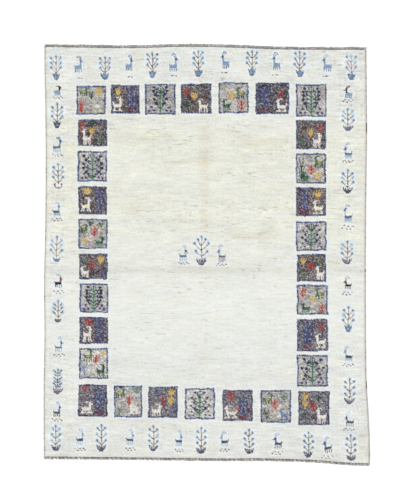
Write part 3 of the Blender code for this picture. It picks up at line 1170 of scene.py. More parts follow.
LEFT_BORDER = (
    BorderDeer(57.5, 95.0, 7.0, 9.5, R, Pelt.BROWN, 2.5, 0.80, 1.5),
    BorderTree(57.0, 127.8, 12.0, 25.0, Pot.CROWN, Yarn.SLATE, Yarn.SOOT, TEALS, Yarn.BARK, OPEN_TWIGS),
    BorderDeer(57.3, 152.0, 7.6, 15.4, R, Pelt.OLIVE, 3.0, 0.70, 1.2),
    BorderTree(58.2, 188.4, 12.0, 25.0, Pot.SCROLL, Yarn.STONE, Yarn.CLAY, TEALS, Yarn.BARK, OPEN_TWIGS),
    BorderDeer(56.6, 216.2, 7.2, 14.6, R, Pelt.BLACK, 3.2, 0.70, 1.15, True),
    BorderTree(56.6, 262.2, 12.5, 26.6, Pot.DISH, Yarn.DENIM, Yarn.MAUVE, PEARLS, Yarn.STEM, OPEN_TWIGS),
    BorderDeer(58.2, 287.5, 7.4, 13.2, R, Pelt.RUST, 4.6, 0.64, 1.45),
    BorderTree(
        58.0, 322.8, 11.0, 23.0, Pot.DISH, Yarn.MAUVE, Yarn.MAUVE, SLATES, Yarn.BARK, OPEN_TWIGS, True
    ),
    BorderDeer(58.6, 352.2, 7.6, 15.6, R, Pelt.GREY, 3.2, 0.60, 0.95),
    BorderTree(
        57.6, 393.6, 12.0, 25.4, Pot.LEAVES, Yarn.MAUVE, Yarn.CLAY, SLATES, Yarn.BARK, LEAF_TWIGS, True
    ),
    BorderDeer(56.9, 416.8, 7.4, 15.2, R, Pelt.SLATE, 3.0, 0.62),
)

RIGHT_BORDER = (
    BorderDeer(348.5, 98.2, 7.6, 13.0, L, Pelt.BROWN, 2.6, 0.64, 1.6),
    BorderTree(348.0, 131.0, 12.0, 23.4, Pot.LEAVES, Yarn.MAUVE, Yarn.SLATE, PEARLS, Yarn.BARK, OPEN_TWIGS),
    BorderDeer(348.2, 158.7, 7.6, 16.3, L, Pelt.GREY, 2.6, 0.62, 1.0, True),
    BorderTree(347.8, 192.8, 12.0, 23.4, Pot.LEAVES, Yarn.SLATE, Yarn.SOOT, TEALS, Yarn.BARK, OPEN_TWIGS),
    BorderDeer(348.2, 222.4, 8.4, 18.0, L, Pelt.GREY, 5.0, 0.68, 1.2, True),
    BorderTree(347.4, 263.8, 12.0, 23.4, Pot.LEAVES, Yarn.MAUVE, Yarn.CLAY, PEARLS, Yarn.STEM, OPEN_TWIGS),
    BorderDeer(348.0, 289.0, 7.6, 13.0, L, Pelt.RUST, 4.6, 0.54, 1.0),
    BorderTree(348.3, 331.7, 11.5, 25.4, Pot.CROWN, Yarn.DENIM, Yarn.INDIGO, TEALS, Yarn.BARK, OPEN_TWIGS),
    BorderDeer(348.4, 361.6, 7.8, 16.0, L, Pelt.BLACK, 3.4, 0.60, 1.3, True),
    BorderTree(349.6, 403.8, 13.0, 26.4, Pot.LEAVES, Yarn.SLATE, Yarn.MAUVE, SLATES, Yarn.BARK, TALL_TWIGS),
    BorderDeer(349.6, 427.0, 8.2, 15.6, L, Pelt.SLATE, 2.8, 0.58),
)

FOOT_BORDER = (
    foot_tree(56.0, 450.5, 26.0, Yarn.SLATE, Yarn.STEEL, Yarn.TEAL, Yarn.PEARL),
    BorderDeer(79.8, 444.9, 7.4, 16.6, R, Pelt.BLACK, 4.0, 0.60),
    foot_tree(101.2, 451.0, 27.0, Yarn.SLATE, Yarn.BARK, Yarn.TEAL, Yarn.STEEL, Yarn.PEARL, Yarn.STEEL),
    BorderDeer(129.8, 445.0, 7.2, 16.0, R, Pelt.BLACK, 4.0, 0.60),
    foot_tree(153.3, 450.8, 25.4, Yarn.SLATE, Yarn.BARK, Yarn.TEAL, Yarn.STEEL, Yarn.PEARL, Yarn.STEEL),
    BorderDeer(178.8, 446.0, 6.8, 15.8, R, Pelt.BLACK, 4.0, 0.58),
    foot_tree(201.1, 453.4, 26.6, Yarn.SLATE, Yarn.BARK, Yarn.TEAL, Yarn.DENIM, Yarn.DENIM, Yarn.STEEL),
    BorderDeer(224.6, 446.4, 7.2, 14.6, L, Pelt.BLACK, 4.2, 0.62),
    foot_tree(249.0, 453.7, 25.0, Yarn.SLATE, Yarn.BARK, Yarn.MAUVE, Yarn.STEEL, Yarn.TEAL),
    BorderDeer(278.0, 448.4, 8.0, 15.6, L, Pelt.SLATE, 4.4, 0.62),
    foot_tree(308.4, 457.0, 25.4, Yarn.SLATE, Yarn.BARK, Yarn.TEAL, Yarn.DENIM, Yarn.STEEL),
    BorderDeer(327.8, 452.8, 8.0, 16.2, L, Pelt.SLATE, 4.4, 0.60),
    foot_tree(351.1, 460.6, 26.2, Yarn.MAUVE, Yarn.EARTH, Yarn.TEAL, Yarn.STEEL),
)

CENTRE = (
    BorderTree(
        201.5, 264.7, 13.0, 29.5, Pot.LEAVES, Yarn.MAUVE, Yarn.AUBERGINE,
        (Yarn.STEEL, Yarn.SLATE, Yarn.TEAL, Yarn.TEAL), Yarn.BARK, CENTRE_TWIGS,
    ),
    BorderDeer(183.4, 261.4, 7.5, 16.6, R, Pelt.GREY, 2.0, 0.60, 1.0),
    BorderDeer(221.6, 262.0, 7.5, 17.2, L, Pelt.MAUVE, 2.5, 0.60, 1.0),
)


# The ivory ground


@dataclass(frozen=True)
class Abrash:
    """The uneven dyeing of the ivory: lots of wool along the length, streaks, dashes and stains.

    A lot is (y on the sheet, red, green, blue, how lively its knots are), and the lots blend into each
    other. A stain is (x, y, half width, half height, strength). The crease is the y of the old fold, along
    which shade is painted into the knots.
    A cell is how many rows and columns of knots a streak, patch or dash takes up.
    """

    lots: tuple[tuple[float, float, float, float, float], ...] = (
        (43, 229, 232, 227, 1.25),
        (105, 230, 232, 226, 1.10),
        (140, 234, 235, 224, 1.0),
        (215, 234, 235, 224, 1.1),
        (265, 234, 236, 229, 0.85),
        (300, 237, 239, 233, 0.65),
        (340, 235, 237, 232, 0.65),
        (370, 231, 233, 228, 1.0),
        (466, 228, 230, 225, 1.25),
    )
    stains: tuple[tuple[float, float, float, float, float], ...] = (
        (205, 132, 5, 8, 0.55),
        (204, 158, 6, 12, 0.70),
        (205, 192, 4, 14, 0.40),
        (205, 222, 5, 14, 0.45),
        (262, 142, 22, 6, 0.45),
        (140, 138, 26, 5, 0.35),
        (182, 162, 14, 1.6, 0.60),
        (136, 205, 10, 9, 0.35),
        (262, 235, 26, 5, 0.40),
        (200, 270, 40, 4, 0.30),
        (60, 122, 14, 4, 0.35),
        (136, 58, 6, 8, 0.45),
        (345, 262, 12, 3, 0.35),
        (362, 442, 8, 14, 0.35),
    )
    stain_strength: float = 0.75
    stain_most: float = 0.9
    streak: float = 0.074
    streak_cell: Point = (1.5, 13.0)
    patch: float = 0.040
    patch_cell: Point = (9.0, 30.0)
    grain: float = 0.055
    grain_most: float = 2.5
    warm: float = 0.050
    warm_cell: Point = (2.5, 18.0)
    warm_tint: tuple[float, float, float] = (0.5, 0.2, -1.0)
    coolest: float = -0.25
    dash_cell: Point = (1.15, 8.0)
    region_cell: Point = (24.0, 50.0)
    region_mean: float = 0.55
    region_swing: float = 0.9
    dash_above: float = 0.56
    dash_edge: float = 0.20
    dash_strength: float = 0.62
    dash_most: float = 0.95
    dash_fades: tuple[Point, Point] = ((110.0, 400.0), (1.25, 0.55))
    speck_share: float = 0.0022
    margin_extra: float = 0.35
    margin_steps: float = 30.0
    margin_fade: float = 4.0
    rim_darkening: float = 0.35
    rim_steps: float = 1.6
    crease: float = 270.8
    crease_half: float = 3.4
    crease_shade: float = 0.085

    def weave(self, chart: Chart) -> None:
        """Lay the ivory over the whole chart.

        Args:
            chart: Where it is knotted.
        """
        lots = np.array(self.lots)
        y = chart.y
        tone = np.stack([np.interp(y, lots[:, 0], lots[:, 1 + part]) for part in range(3)], -1)
        chart.colour = linear(tone) / STUDIO_GAIN
        warmth = np.zeros(chart.shape)
        for x, place, across, tall, strength in self.stains:
            away = ((chart.x - x) / across) ** 2 + ((y - place) / tall) ** 2
            warmth += strength * np.exp(-away)
        beige = Yarn.BEIGE.carded(chart.heather)
        stained = np.clip(self.stain_strength * warmth, 0, self.stain_most)
        chart.colour += (beige - chart.colour) * stained[..., None]
        dashes = drift(chart.shape, self.dash_cell, chart.rng)
        region = drift(chart.shape, self.region_cell, chart.rng)
        region = np.clip(self.region_mean + self.region_swing * region, 0, 1)
        faded = np.interp(y, *self.dash_fades)
        dashed = np.clip((dashes - self.dash_above) / self.dash_edge, 0, 1) * region * faded
        dashed = np.maximum(dashed, chart.rng.random(chart.shape) < self.speck_share)
        oat = Yarn.OAT.carded(chart.heather)
        oaten = np.clip(self.dash_strength * dashed, 0, self.dash_most)
        chart.colour += (oat - chart.colour) * oaten[..., None]

    def shade(self, chart: Chart) -> None:
        """Vary every knot's brightness, whatever its wool: streaks, patches, single knots, and a painted
        shade along the crease.

        Args:
            chart: The finished drawing.
        """
        streak = drift(chart.shape, self.streak_cell, chart.rng)
        patch = drift(chart.shape, self.patch_cell, chart.rng)
        grain = chart.rng.normal(0, 1, chart.shape)
        lots = np.array(self.lots)
        lively = np.interp(chart.y, lots[:, 0], lots[:, 4])
        margin = np.minimum(chart.x - chart.x[:, :1], chart.x[:, -1:] - chart.x)
        near_side = np.clip((self.margin_steps - margin) / self.margin_fade, 0, 1)
        lively *= 1 + self.margin_extra * near_side
        gain = 1 + lively * (self.streak * streak + self.patch * patch)
        gain += lively * self.grain * np.clip(grain, -self.grain_most, self.grain_most)
        # Painted shade: the knots darken in a band along the crease of the old fold.
        gain -= self.crease_shade * np.exp(-(((chart.y - self.crease) / self.crease_half) ** 2))
        tint = drift(chart.shape, self.warm_cell, chart.rng)
        warmth = lively * self.warm * np.maximum(tint, self.coolest)
        chart.colour *= gain[..., None] * (1 + warmth[..., None] * np.array(self.warm_tint))
        # The knots next to the side cords are mixed toward oat, so the pile is darker along its sides.
        rim_darkened = self.rim_darkening * np.clip(1 - margin / self.rim_steps, 0, 1)[..., None]
        chart.colour += (Yarn.OAT.carded(chart.heather) - chart.colour) * rim_darkened


# The whiter wool that sets a figure off, how much of it is carded in and how many knots wide it runs.
SETTING_WHITE = (235, 239, 241)
SETTING_SHARE = 0.55
SETTING_KNOTS = 2


def brighten_round(chart: Chart, share: float) -> None:
    """Use whiter wool for the ivory knots that border a figure, as weavers do to set it off.

    Args:
        chart: The finished drawing.
        share: How much of the whiter wool is carded in.
    """
    near = chart.figured.copy()
    for _ in range(SETTING_KNOTS):
        for along in (near, near.T):
            along[1:] |= along[:-1].copy()
            along[:-1] |= along[1:].copy()
    ring = near & ~chart.figured
    white = linear(np.array(SETTING_WHITE)) / STUDIO_GAIN
    chart.colour[ring] += (white - chart.colour[ring]) * share


def draw_rug(chart: Chart) -> None:
    """Weave the whole drawing on the chart.

    Args:
        chart: Where it is knotted.
    """
    abrash = Abrash()
    abrash.weave(chart)
    for panel in (*HEAD_PANELS, *LEFT_PANELS, *FOOT_PANELS, *RIGHT_PANELS):
        panel.weave(chart)
    for figure in (*HEAD_BORDER, *LEFT_BORDER, *RIGHT_BORDER, *FOOT_BORDER, *CENTRE):
        figure.weave(chart)
    brighten_round(chart, SETTING_SHARE)
    abrash.shade(chart)


# Meshes

COLOUR = "wool_colour"
PLACE = "wool_place"

# Edges that bend by more than this many degrees are shaded sharp, on flat pieces and on strands.
FLAT_SHARP = 60.0
STRAND_SHARP = 75.0


@dataclass
class Shape:
    """A mesh in the making: points, four-sided faces, closed rims to fill, and what each point wears."""

    points: Array
    quads: Array
    rims: list[Array]
    colour: Array
    place: Array

    def make(self, name: str, sharp_above: float = FLAT_SHARP) -> bpy.types.Object:
        """Turn it into an object.

        Args:
            name: The piece's name.
            sharp_above: Edges that bend by more than this many degrees are shaded sharp.

        Returns:
            The object, linked to the scene.
        """
        mesh = bpy.data.meshes.new(name)
        corners = np.concatenate([self.quads.ravel(), *self.rims]).astype(np.int32)
        counts = [4] * len(self.quads) + [len(rim) for rim in self.rims]
        starts = np.concatenate([[0], np.cumsum(counts)[:-1]]).astype(np.int32)
        mesh.vertices.add(len(self.points))
        mesh.vertices.foreach_set("co", self.points.astype(np.float32).ravel())
        mesh.loops.add(len(corners))
        mesh.loops.foreach_set("vertex_index", corners)
        mesh.polygons.add(len(counts))
        mesh.polygons.foreach_set("loop_start", starts)
        mesh.update(calc_edges=True)
        wool = mesh.attributes.new(COLOUR, "FLOAT_COLOR", "POINT")
        alpha = np.ones((len(self.points), 1))
        wool.data.foreach_set("color", np.hstack([self.colour, alpha]).astype(np.float32).ravel())
        place = mesh.attributes.new(PLACE, "FLOAT_VECTOR", "POINT")
        place.data.foreach_set("vector", self.place.astype(np.float32).ravel())
        mesh.shade_smooth()
        mesh.set_sharp_from_angle(angle=math.radians(sharp_above))
        thing = bpy.data.objects.new(name, mesh)
        bpy.context.scene.collection.objects.link(thing)
        return thing


def grid_quads(rows: int, cols: int) -> Array:
    """Faces of a grid numbered by row, turned to look up where rows run towards -Y.

    Args:
        rows: Points down.
        cols: Points across.

    Returns:
        Four numbers a face.
    """
    number = np.arange(rows * cols).reshape(rows, cols)
    corners = (number[:-1, :-1], number[1:, :-1], number[1:, 1:], number[:-1, 1:])
    return np.stack(corners, -1).reshape(-1, 4)


def grid_ring(rows: int, cols: int) -> Array:
    """Numbers round the edge of a grid: down the left side, along the foot, up the right, back.

    Args:
        rows: Points down.
        cols: Points across.

    Returns:
        The numbers in that order.
    """
    number = np.arange(rows * cols).reshape(rows, cols)
    parts = (number[:-1, 0], number[-1, :-1], number[:0:-1, -1], number[0, :0:-1])
    return np.concatenate(parts)


def wall_quads(rings: Array) -> Array:
    """Outward faces between closed rings, one ring a row, from the top one to the lowest.

    Args:
        rings: The rings' point numbers, counterclockwise from above.

    Returns:
        Four numbers a face.
    """
    turned = np.roll(rings, -1, axis=1)
    corners = (rings[:-1], rings[1:], turned[1:], turned[:-1])
    return np.stack(corners, -1).reshape(-1, 4)


def tube_shape(centres: Array, frames: Array, profile: Array, colour: Array, place: Array) -> Shape:
    """Carry a closed profile along a path and fill both ends.

    Point j of ring i is centre i plus the profile's two numbers times the ring's two directions.

    Args:
        centres: The path's points, one row each.
        frames: Two directions for each ring, shape (rings, 2, 3).
        profile: Two numbers for each point of each ring, shape (rings, sides, 2).
        colour: A colour for each point, shape (rings, sides, 3).
        place: Turns round and along for each point, shape (rings, sides, 3).

    Returns:
        The shape of the tube.
    """
    rings, sides = profile.shape[:2]
    points = centres[:, None] + np.einsum("ijk,ikl->ijl", profile, frames)
    number = np.arange(rings * sides).reshape(rings, sides)
    return Shape(
        points.reshape(-1, 3),
        wall_quads(number),
        [number[0][::-1].copy(), number[-1].copy()],
        colour.reshape(-1, 3),
        place.reshape(-1, 3),
    )


def joined(shapes: Sequence[Shape]) -> Shape:
    """Several shapes as one, their numbers moved up.

    Args:
        shapes: The shapes.

    Returns:
        One shape with all their points, faces and rims.
    """
    starts = np.cumsum([0] + [len(shape.points) for shape in shapes[:-1]])
    return Shape(
        np.concatenate([shape.points for shape in shapes]),
        np.concatenate([shape.quads + start for shape, start in zip(shapes, starts)]),
        [rim + start for shape, start in zip(shapes, starts) for rim in shape.rims],
        np.concatenate([shape.colour for shape in shapes]),
        np.concatenate([shape.place for shape in shapes]),
    )


# Shader sums


class Signal:
    """A shader socket that takes part in Python sums."""

    def __init__(self, bench: "Bench", socket: bpy.types.NodeSocket) -> None:
        """Wrap a socket of a bench's node tree."""
        self.bench = bench
        self.socket = socket

    def sum(self, operation: str, first: "Signal | float", second: "Signal | float") -> "Signal":
        """One Math node on two values."""
        return self.bench.node("ShaderNodeMath", {"operation": operation}, {0: first, 1: second})

    def __add__(self, other: "Signal | float") -> "Signal":
        """This plus other."""
        return self.sum("ADD", self, other)

    def __radd__(self, other: float) -> "Signal":
        """Other plus this."""
        return self.sum("ADD", other, self)

    def __mul__(self, other: "Signal | float") -> "Signal":
        """This times other."""
        return self.sum("MULTIPLY", self, other)

    def __rmul__(self, other: float) -> "Signal":
        """Other times this."""
        return self.sum("MULTIPLY", other, self)

    def cosine(self) -> "Signal":
        """The cosine of this."""
        return self.sum("COSINE", self, 0.0)

    def tinted(self, gain: "Signal") -> "Signal":
        """This colour times a number."""
        values = {"Vector": self, "Scale": gain}
        return self.bench.node("ShaderNodeVectorMath", {"operation": "SCALE"}, values)


class Bench:
    """A material's node tree, where nodes are made and joined."""

    NOISE_ROUGHNESS = 0.6

    def __init__(self, name: str) -> None:
        """Start a Principled material.

        Args:
            name: Its name.
        """
        self.material = bpy.data.materials.new(name)
        self.material.use_nodes = True
        self.tree = self.material.node_tree
        self.shader = self.tree.nodes["Principled BSDF"]

    def node(self, kind: str, settings: dict, values: dict, output: str | int = 0) -> Signal:
        """Make one node.

        Args:
            kind: The node's type.
            settings: Its settings, set first.
            values: What goes into each socket, a number, a colour or a Signal.
            output: The socket that comes out.

        Returns:
            That output.
        """
        made = self.tree.nodes.new(kind)
        for name, value in settings.items():
            setattr(made, name, value)
        for name, value in values.items():
            self.feed(made.inputs[name], value)
        return Signal(self, made.outputs[output])

    def feed(self, socket: bpy.types.NodeSocket, value: "Signal | float | tuple") -> None:
        """Link a Signal to a socket, or set the socket's own value.

        Args:
            socket: The socket that is fed.
            value: What goes into it.
        """
        if isinstance(value, Signal):
            self.tree.links.new(value.socket, socket)
        else:
            socket.default_value = value

    def worn(self, name: str, output: str) -> Signal:
        """An attribute of the mesh."""
        return self.node("ShaderNodeAttribute", {"attribute_name": name}, {}, output)

    def counts(self) -> tuple[Signal, Signal]:
        """Both counts that a piece wears: knots across and down, or turns round and along."""
        place = self.worn(PLACE, "Vector")
        return tuple(self.node("ShaderNodeSeparateXYZ", {}, {0: place}, axis) for axis in "XY")

    def noise(self, scale: float, detail: float) -> Signal:
        """Noise from 0 to 1 on Object coordinates.

        Args:
            scale: Turns a metre.
            detail: How many finer layers it has.

        Returns:
            The noise.
        """
        place = self.node("ShaderNodeTexCoord", {}, {}, "Object")
        rough = self.NOISE_ROUGHNESS
        values = {"Vector": place, "Scale": scale, "Detail": detail, "Roughness": rough}
        return self.node("ShaderNodeTexNoise", {}, values)

    def finish(self, colour: Signal, rough: Signal, height: Signal, depth: float, strength: float) -> None:
        """Feed the shader its colour, roughness and bumps.

        Args:
            colour: The wool's colour.
            rough: Its roughness.
            height: How high the surface stands, from 0 to 1.
            depth: What a height of 1 is in metres.
            strength: How strongly the bumps show.
        """
        bump = {"Height": height, "Distance": depth, "Strength": strength}
        self.feed(self.shader.inputs["Base Color"], colour)
        self.feed(self.shader.inputs["Roughness"], rough)
        self.feed(self.shader.inputs["Normal"], self.node("ShaderNodeBump", {}, bump))


@dataclass(frozen=True)
class PileWool:
    """Cut pile: each knot a soft dome of fibres, with shade painted into the colour where knots meet."""

    name: str = "pile_wool"
    fibres: float = 1300.0
    tufts: float = 230.0
    dome_depth: float = 0.0006
    bump: float = 0.55
    sheen: float = 0.12
    sheen_rough: float = 0.5
    specular: float = 0.15

    def material(self) -> bpy.types.Material:
        """A dome, 1 at a knot's centre, is a half plus a quarter of the cosine of each count of knots.

        Returns:
            The material.
        """
        bench = Bench(self.name)
        across, down = bench.counts()
        dome = 0.5 + 0.25 * ((across * math.tau).cosine() + (down * math.tau).cosine())
        fibre = bench.noise(self.fibres, 3.0)
        tuft = bench.noise(self.tufts, 2.0)
        # Painted shade: the dome term makes the colour a little darker where knots meet; fibres and tufts
        # vary it at random.
        gain = 0.90 + 0.05 * dome + 0.10 * fibre + 0.04 * tuft
        colour = bench.worn(COLOUR, "Color").tinted(gain)
        height = 0.45 * dome + 0.35 * fibre + 0.30 * tuft
        bench.finish(colour, 0.84 + 0.14 * fibre, height, self.dome_depth, self.bump)
        bench.shader.inputs["Sheen Weight"].default_value = self.sheen
        bench.shader.inputs["Sheen Roughness"].default_value = self.sheen_rough
        bench.shader.inputs["Specular IOR Level"].default_value = self.specular
        return bench.material


@dataclass(frozen=True)
class SpunWool:
    """Spun yarn as it lies in a cord, a twined row or the woven back: plies wound slantwise."""

    name: str
    plies: float = 3.0
    lay: float = 1.0
    fibres: float = 1800.0
    ply_depth: float = 0.0004
    bump: float = 0.6
    sheen: float = 0.10
    specular: float = 0.20

    def material(self) -> bpy.types.Material:
        """A ply is a half plus half the cosine of a slanted count of turns, with fine fibres over it.

        Returns:
            The material.
        """
        bench = Bench(self.name)
        around, along = bench.counts()
        turns = around * (math.tau * self.plies) + along * (math.tau * self.lay)
        ply = 0.5 + 0.5 * turns.cosine()
        fibre = bench.noise(self.fibres, 3.0)
        # Painted shade: the ply term darkens the colour in the grooves between plies; fibres vary it at
        # random.
        colour = bench.worn(COLOUR, "Color").tinted(0.88 + 0.10 * ply + 0.10 * fibre)
        height = 0.6 * ply + 0.4 * fibre
        bench.finish(colour, 0.80 + 0.15 * fibre, height, self.ply_depth, self.bump)
        bench.shader.inputs["Sheen Weight"].default_value = self.sheen
        bench.shader.inputs["Specular IOR Level"].default_value = self.specular
        return bench.material


@dataclass(frozen=True)
class PaleFloor:
    """The plain pale floor of the studio."""

    name: str = "pale_floor"
    tone: float = 0.93

    def material(self) -> bpy.types.Material:
        """A matt near-white with a faint mottle in its roughness.

        Returns:
            The material.
        """
        bench = Bench(self.name)
        bench.shader.inputs["Base Color"].default_value = (self.tone, self.tone, self.tone, 1.0)
        bench.feed(bench.shader.inputs["Roughness"], 0.75 + 0.15 * bench.noise(3.0, 2.0))
        bench.shader.inputs["Specular IOR Level"].default_value = 0.0
        return bench.material


# The rug's pieces


@dataclass
class Pile:
    """The knotted pile, woven in courses that run from side to side, from the head down."""

    outline: Outline
    lie: Lie
    knot: float = 0.0031
    side_inset: float = 0.0073
    head_inset: float = 0.0168
    foot_inset: float = 0.0143
    floor: float = 0.0022
    courses: int = 6
    tuft_jitter: float = 0.00035
    tuft_most: float = 0.001
    row_swell: float = 0.0003
    row_cell: Point = (1.6, 9.0)
    slip: float = 0.00028
    uneven: Point = (0.6, 1.5)
    rim_drop: float = 0.0026
    rim_reach: float = 1.3
    wall: tuple[Point, ...] = ((0.86, 0.0010), (0.62, 0.0019), (0.34, 0.0014), (0.0, 0.0002))
    chart: Chart = field(init=False)
    points: Array = field(init=False)

    def __post_init__(self) -> None:
        """Place every knot and draw the rug on them."""
        cols = round((RUG_WIDTH - 2 * self.side_inset) / self.knot)
        rows = round((RUG_LENGTH - self.head_inset - self.foot_inset) / self.knot)
        across = np.linspace(0, 1, cols)[None, :]
        down = np.linspace(0, 1, rows)[:, None]
        insets = (self.side_inset, self.head_inset, self.foot_inset)
        flat = self.outline.place(across, down, *insets)
        self.chart = Chart(flat, SEED)
        draw_rug(self.chart)
        self.points = self.raise_pile(flat)

    def raise_pile(self, flat: Array) -> Array:
        """Give each knot its height: the rug's lie, its own tuft, and a drop towards the rim.

        Args:
            flat: x and y of each knot.

        Returns:
            x, y and z of each knot, a little aslip.
        """
        rng = np.random.default_rng(SEED + 1)
        rows, cols = flat.shape[:2]
        row = np.minimum(np.arange(rows), np.arange(rows)[::-1])[:, None]
        col = np.minimum(np.arange(cols), np.arange(cols)[::-1])[None, :]
        rim = np.exp(-np.minimum(row, col) / self.rim_reach)
        tuft = np.clip(rng.normal(0, self.tuft_jitter, (rows, cols)), -self.tuft_most, self.tuft_most)
        tuft += self.row_swell * drift((rows, cols), self.row_cell, rng)
        height = self.lie.top(flat[..., 0], flat[..., 1]) + tuft - self.rim_drop * rim
        slip = rng.normal(0, self.slip, (rows, cols, 2))
        return np.concatenate([flat + slip, height[..., None]], -1)

    def course(self, first: int, last: int) -> Shape:
        """One course as a closed shape: its knots, walls round it and a flat underside.

        A wall ring is the course's edge at a share of its height, moved out at the rug's own rim,
        where the outer tufts lean over the side.

        Args:
            first: First row of knots.
            last: Last row of knots, which the next course shares.

        Returns:
            The shape.
        """
        rows, cols = last - first + 1, self.points.shape[1]
        top = self.points[first : last + 1].reshape(-1, 3)
        ring = grid_ring(rows, cols)
        outward = self.outward(first, last)[ring]
        edge = top[ring]
        rng = np.random.default_rng(SEED + 2)
        uneven = rng.uniform(*self.uneven, self.points.shape[:2])[first : last + 1].reshape(-1)[ring]
        walls = []
        for share, reach in self.wall:
            level = edge.copy()
            level[:, :2] += outward * (reach * uneven)[:, None]
            level[:, 2] = self.floor + (edge[:, 2] - self.floor) * share
            walls.append(level)
        count = len(top)
        lower = count + np.arange(len(walls) * len(ring)).reshape(len(walls), -1)
        rings = np.vstack([ring[None], lower])
        colour = self.chart.colour[first : last + 1].reshape(-1, 3)
        row, col = np.mgrid[first : last + 1, 0:cols]
        place = np.stack([col.ravel(), row.ravel(), np.zeros(count)], -1)
        copies = len(self.wall)
        return Shape(
            np.concatenate([top, *walls]),
            np.concatenate([grid_quads(rows, cols), wall_quads(rings)]),
            [lower[-1][::-1].copy()],
            np.concatenate([colour, np.tile(colour[ring], (copies, 1))]),
            np.concatenate([place, np.tile(place[ring], (copies, 1))]),
        )

    def outward(self, first: int, last: int) -> Array:
        """The way out of the rug at each knot of a course, and nothing away from its rim.

        Args:
            first: First row of knots.
            last: Last row of knots.

        Returns:
            x and y of the way, one row a knot.
        """
        rows, cols = self.points.shape[:2]
        way = np.zeros((rows, cols, 2))
        way[:, 0, 0] = -1
        way[:, -1, 0] = 1
        way[0, :, 1] = 1
        way[-1, :, 1] = -1
        return way[first : last + 1].reshape(-1, 2)

    def build(self, wool: bpy.types.Material) -> list[bpy.types.Object]:
        """Make the courses, each riding on the rug's body in the slab's place.

        Args:
            wool: Their material.

        Returns:
            The courses.
        """
        bounds = np.linspace(0, len(self.points) - 1, self.courses + 1).round().astype(int)
        made = []
        for number, (first, last) in enumerate(zip(bounds[:-1], bounds[1:]), 1):
            piece = self.course(int(first), int(last)).make(f"pile_course_{number}")
            settle(piece, wool, "pile_field")
            made.append(piece)
        return made


def settle(piece: bpy.types.Object, wool: bpy.types.Material, node: str) -> None:
    """Dress a piece, hang it on the root body and hide the solid that it replaces.

    Args:
        piece: The piece.
        wool: Its material.
        node: The solid that it stands for.
    """
    piece.data.materials.append(wool)
    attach(piece, "root")
    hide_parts(node)


@dataclass
class WovenGround:
    """The woven ground that the knots are tied on: a flat thin sheet whose back shows the drawing too.

    It has a point for every few knots. Their colours show through almost in full, a tenth of the way
    nearer to a middle grey.
    """

    outline: Outline
    chart: Chart
    inset: float = 0.0030
    thickness: float = 0.0023
    every: int = 3
    show: float = 0.9
    veil: float = 0.04

    def build(self, wool: bpy.types.Material) -> bpy.types.Object:
        """Make the sheet: a grid that looks down, walls round it and a plain top under the pile.

        Args:
            wool: Its material.

        Returns:
            The sheet.
        """
        seen = self.chart.colour[:: self.every, :: self.every]
        rows, cols = seen.shape[:2]
        down, across = np.linspace(0, 1, rows)[:, None], np.linspace(0, 1, cols)[None, :]
        flat = self.outline.place(across, down, self.inset, self.inset, self.inset)
        low = np.concatenate([flat, np.zeros((rows, cols, 1))], -1).reshape(-1, 3)
        ring = grid_ring(rows, cols)
        high = low[ring] + np.array((0, 0, self.thickness))
        upper = len(low) + np.arange(len(ring))
        row, col = np.mgrid[0:rows, 0:cols]
        place = np.stack([col.ravel(), row.ravel(), np.zeros(rows * cols)], -1) * self.every
        colour = seen.reshape(-1, 3) * self.show + self.veil
        shape = Shape(
            np.concatenate([low, high]),
            np.concatenate([grid_quads(rows, cols)[:, ::-1], wall_quads(np.vstack([upper, ring]))]),
            [upper],
            np.concatenate([colour, colour[ring]]),
            np.concatenate([place, place[ring]]),
        )
        piece = shape.make("woven_ground")
        settle(piece, wool, "pile_field")
        return piece


